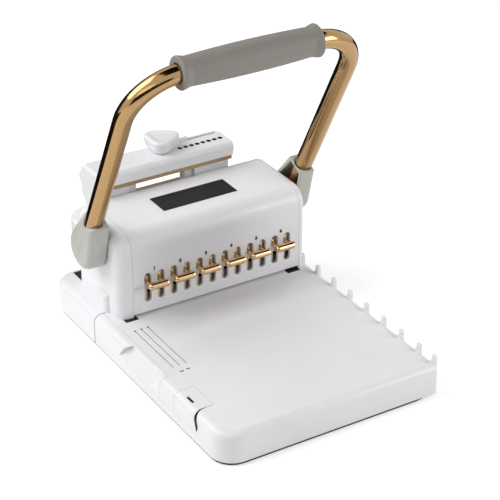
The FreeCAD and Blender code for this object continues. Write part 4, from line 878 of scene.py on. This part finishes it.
@dataclass
class SizeKnob:
    """The soft three-lobed knob that sets the closer to the size of the wire."""

    rack: FinishRack
    centre: tuple[float, float] = (0.0036, 0.138)
    foot_gap: float = 0.0005
    reach: float = 0.0179
    waist: float = 0.0136
    lobes: int = 3
    sides: int = 36
    foot_draw: float = 0.84
    rim_share: float = 0.22
    slope_share: float = 0.18
    dimple_share: float = 0.12
    dome: float = 0.0006
    dish: float = 0.0009
    edge_round: float = 0.0026

    @property
    def foot(self) -> float:
        """The height of its underside, close over the cover."""
        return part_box("closer_cover")[1][2] + self.foot_gap

    @property
    def top(self) -> float:
        """The height of its rim, as that of the plain solid."""
        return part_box("size_knob")[1][2]

    def build(self) -> bpy.types.Object:
        """Shapes the knob from a disc and puts it in place of its plain solid.

        Returns:
            The knob.
        """
        knob = self._disc()
        self._draw_lobes(knob)
        self._shape_top(knob)
        self._soften(knob)
        knob.name = "size_knob_soft"
        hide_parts("size_knob")
        settle(knob, "size_knob", self.rack, Slot.WHITE_SHELL)
        return knob

    def _disc(self) -> bpy.types.Object:
        """Starts with a disc as high as the knob.

        Returns:
            The disc.
        """
        bpy.ops.object.select_all(action="DESELECT")
        middle = (self.foot + self.top) / 2.0
        bpy.ops.mesh.primitive_cylinder_add(
            vertices=self.sides, radius=self.reach, depth=self.top - self.foot,
            end_fill_type="NGON", location=(*self.centre, middle))
        disc = bpy.context.object
        fix_place(disc)
        return disc

    def _draw_lobes(self, knob: bpy.types.Object) -> None:
        """Draws the disc in between its lobes, and a little more at its foot.

        Args:
            knob: The disc.
        """
        axis = Vector((*self.centre, 0.0))
        half_way = (self.foot + self.top) / 2.0
        mean, swing = (self.reach + self.waist) / 2.0, (self.reach - self.waist) / 2.0
        for vertex in knob.data.vertices:
            arm = vertex.co - axis
            turn = math.atan2(arm.y, arm.x) * self.lobes
            factor = (mean + swing * math.cos(turn)) / self.reach
            if vertex.co.z < half_way:
                factor *= self.foot_draw
            vertex.co.x = axis.x + arm.x * factor
            vertex.co.y = axis.y + arm.y * factor

    def _shape_top(self, knob: bpy.types.Object) -> None:
        """Insets the top face, domes it and sinks a dimple into its middle.

        Args:
            knob: The lobed disc.
        """
        pick(knob)
        bpy.ops.object.mode_set(mode="EDIT")
        bpy.ops.mesh.select_mode(type="FACE")
        bpy.ops.mesh.select_all(action="DESELECT")
        bpy.ops.object.mode_set(mode="OBJECT")
        for face in knob.data.polygons:
            face.select = face.normal.z > LOOKS_UP
        bpy.ops.object.mode_set(mode="EDIT")
        bpy.ops.mesh.inset(thickness=self.reach * self.rim_share)
        bpy.ops.transform.translate(value=(0.0, 0.0, self.dome))
        bpy.ops.mesh.inset(thickness=self.reach * self.slope_share)
        bpy.ops.transform.translate(value=(0.0, 0.0, -self.dish))
        bpy.ops.mesh.inset(thickness=self.reach * self.dimple_share)
        bpy.ops.object.mode_set(mode="OBJECT")

    def _soften(self, knob: bpy.types.Object) -> None:
        """Rounds the rims and smooths the whole.

        Args:
            knob: The shaped knob.
        """
        bevel = knob.modifiers.new("rims", "BEVEL")
        bevel.width = self.edge_round
        bevel.segments = 3
        bevel.limit_method = "ANGLE"
        smooth = knob.modifiers.new("skin", "SUBSURF")
        smooth.levels = smooth.render_levels = 2
        pick(knob)
        bpy.ops.object.modifier_apply(modifier=bevel.name)
        bpy.ops.object.modifier_apply(modifier=smooth.name)
        bpy.ops.object.shade_smooth()


@dataclass(frozen=True)
class Lamp:
    """A soft square lamp that looks at the object."""

    name: str
    at: tuple[float, float, float]
    size: float
    power: float

    def hang(self, aim: Vector) -> None:
        """Hangs the lamp where it belongs and turns it to the object.

        Args:
            aim: The place that it looks at.
        """
        bpy.ops.object.light_add(type="AREA", location=self.at)
        lamp = bpy.context.object
        lamp.name = self.name
        lamp.rotation_euler = (aim - Vector(self.at)).to_track_quat("-Z", "Y").to_euler()
        lamp.data.size = self.size
        lamp.data.energy = self.power


@dataclass(frozen=True)
class SlotGlow:
    """A faint strip lamp behind the punch panel, which lifts the pins out of the dark."""

    at: tuple[float, float, float] = (0.004, 0.0441, 0.046)
    size: tuple[float, float] = (0.164, 0.020)
    power: float = 0.0023

    def hang(self) -> None:
        """Hangs the strip so that it shines rearwards, unseen itself."""
        bpy.ops.object.light_add(type="AREA", location=self.at)
        lamp = bpy.context.object
        lamp.name = "slot_glow"
        lamp.rotation_euler = Vector((0.0, 1.0, 0.0)).to_track_quat("-Z", "Y").to_euler()
        lamp.data.shape = "RECTANGLE"
        lamp.data.size, lamp.data.size_y = self.size
        lamp.data.energy = self.power
        lamp.visible_camera = lamp.visible_glossy = False


@dataclass(frozen=True)
class ContactShade:
    """The dark of the floor close under the base, seen as a thin line along its edges."""

    inset: float = 0.0016
    rounding: float = 0.0185
    height: float = 0.0002
    colour: tuple[float, float, float] = (0.40, 0.40, 0.41)

    def lay(self) -> None:
        """Lays the shade under the base."""
        front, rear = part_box("front_base"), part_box("rear_base")
        low, high = front[0], rear[1]
        size = (high[0] - low[0] - 2.0 * self.inset, high[1] - low[1] - 2.0 * self.inset)
        middle = ((low[0] + high[0]) / 2.0, (low[1] + high[1]) / 2.0, self.height)
        shade_sheet = rounded_sheet(size, middle, self.rounding)
        shade_sheet.name = "contact_shade"
        shade_sheet.data.materials.append(matt("contact_shade", self.colour).owner)


@dataclass(frozen=True)
class DarkCard:
    """A dark card beside the object.

    A mirrored card gives polished metal its deep streaks, and one that dims takes soft light
    from the surfaces that face it.
    """

    name: str
    at: tuple[float, float, float]
    faces: tuple[float, float, float]
    size: tuple[float, float]
    dims: bool = False
    mirrored: bool = True
    colour: tuple[float, float, float] = (0.12, 0.11, 0.10)

    def stand(self) -> None:
        """Stands the card where it belongs, unseen by the camera and by the lamps."""
        bpy.ops.object.select_all(action="DESELECT")
        bpy.ops.mesh.primitive_plane_add(size=1.0, location=self.at)
        card = bpy.context.object
        card.name = self.name
        card.scale = (*self.size, 1.0)
        card.rotation_euler = Vector(self.faces).to_track_quat("Z", "Y").to_euler()
        fix_place(card)
        card.data.materials.append(matt(self.name, self.colour).owner)
        card.visible_diffuse = self.dims
        card.visible_glossy = self.mirrored
        card.visible_camera = card.visible_shadow = card.visible_transmission = False


@dataclass
class Studio:
    """The pale floor, the soft lamps, the dark cards and the camera."""

    floor_size: float = 9.0
    floor_colour: tuple[float, float, float] = (0.93, 0.93, 0.93)
    floor_lift: float = 0.42
    air_light: float = 0.455
    camera_at: tuple[float, float, float] = (-0.6846, -1.1390, 0.8311)
    camera_looks: tuple[float, float, float] = (0.4558, 0.7459, -0.4857)
    lens: float = 130.19
    sensor: float = 36.0
    aim: tuple[float, float, float] = (0.0, 0.0, 0.06)
    lamps: tuple[Lamp, ...] = (
        Lamp("key_lamp", at=(-1.10, 0.70, 1.20), size=1.3, power=20.0),
        Lamp("side_lamp", at=(-1.05, -0.75, 0.45), size=0.9, power=2.5),
        Lamp("fill_lamp", at=(0.75, -0.75, 0.45), size=0.5, power=3.9),
    )
    cards: tuple[DarkCard, ...] = (
        DarkCard("front_card", at=(-0.6, -0.8, 0.22), faces=(0.55, 0.83, 0.0), size=(1.6, 0.44),
                 dims=True),
        DarkCard("panel_card", at=(-0.01, -0.005, 0.085), faces=(0.0, 1.0, 0.0),
                 size=(0.115, 0.06), dims=True, mirrored=False),
        DarkCard("rear_card", at=(0.3, 1.3, 0.3), faces=(0.0, -1.0, 0.0), size=(3.4, 0.9)),
        DarkCard("rear_floor_card", at=(0.3, 0.78, 0.002), faces=(0.0, 0.0, 1.0),
                 size=(3.0, 1.15)),
        DarkCard("top_card", at=(0.5, -0.2, 1.7), faces=(0.0, 0.0, -1.0), size=(1.9, 1.9)),
    )

    def build(self) -> None:
        """Sets up the studio."""
        self._floor()
        self._world()
        ContactShade().lay()
        for lamp in self.lamps:
            lamp.hang(Vector(self.aim))
        SlotGlow().hang()
        for card in self.cards:
            card.stand()
        self._camera()

    def _background_rays(self, bench: Bench) -> bpy.types.NodeSocket:
        """Tells the background that is seen from the light that falls on the object.

        Args:
            bench: The bench of the floor or the world.

        Returns:
            1 for what the camera, metal and glass see, and 0 for light on the object.
        """
        path = bench.add("ShaderNodeLightPath")
        seen = path.outputs["Is Camera Ray"]
        for name in ("Is Glossy Ray", "Is Transmission Ray"):
            seen = bench.reckon("MAXIMUM", seen, path.outputs[name])
        return seen

    def _floor(self) -> None:
        """Lays a white floor that keeps the object's shadow."""
        bpy.ops.object.select_all(action="DESELECT")
        bpy.ops.mesh.primitive_plane_add(size=self.floor_size, location=(0.0, 0.0, 0.0))
        floor = bpy.context.object
        floor.name = "studio_floor"
        bench = matt("studio_floor", self.floor_colour)
        bench.shader.inputs["Emission Color"].default_value = (1.0, 1.0, 1.0, 1.0)
        lift = bench.reckon("MULTIPLY", self._background_rays(bench), self.floor_lift)
        bench.plug(bench.shader, "Emission Strength", lift)
        floor.data.materials.append(bench.owner)

    def _world(self) -> None:
        """Fills the room with even light and shows it white to the camera and to metal."""
        bench = Bench.for_world("studio_air")
        bpy.context.scene.world = bench.owner
        bench.shader.inputs["Color"].default_value = (1.0, 1.0, 1.0, 1.0)
        strength = bench.spread(self._background_rays(bench), low=self.air_light, high=1.0,
                                start=0.0, end=1.0)
        bench.plug(bench.shader, "Strength", strength)

    def _camera(self) -> None:
        """Sets the camera where the picture was taken from."""
        bpy.ops.object.camera_add(location=self.camera_at)
        camera = bpy.context.object
        camera.rotation_euler = Vector(self.camera_looks).to_track_quat("-Z", "Y").to_euler()
        camera.data.lens = self.lens
        camera.data.sensor_width = self.sensor
        bpy.context.scene.camera = camera
        bpy.context.scene.view_settings.view_transform = "Standard"


def main() -> None:
    """Builds the studio and the machine's looks, piece by piece."""
    logging.basicConfig(level=logging.INFO, format="%(message)s")
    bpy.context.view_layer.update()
    rack = FinishRack()
    Studio().build()
    Solids(rack).dress()
    for piece in (SlotNumbers(rack), TrayPrint(rack), TrayLip(rack), PartingShadeLine(rack),
                  StopScale(rack), GuideMark(rack), PaintedGapShade(rack), SizeKnob(rack)):
        piece.build()


if __name__ == "__main__":
    main()
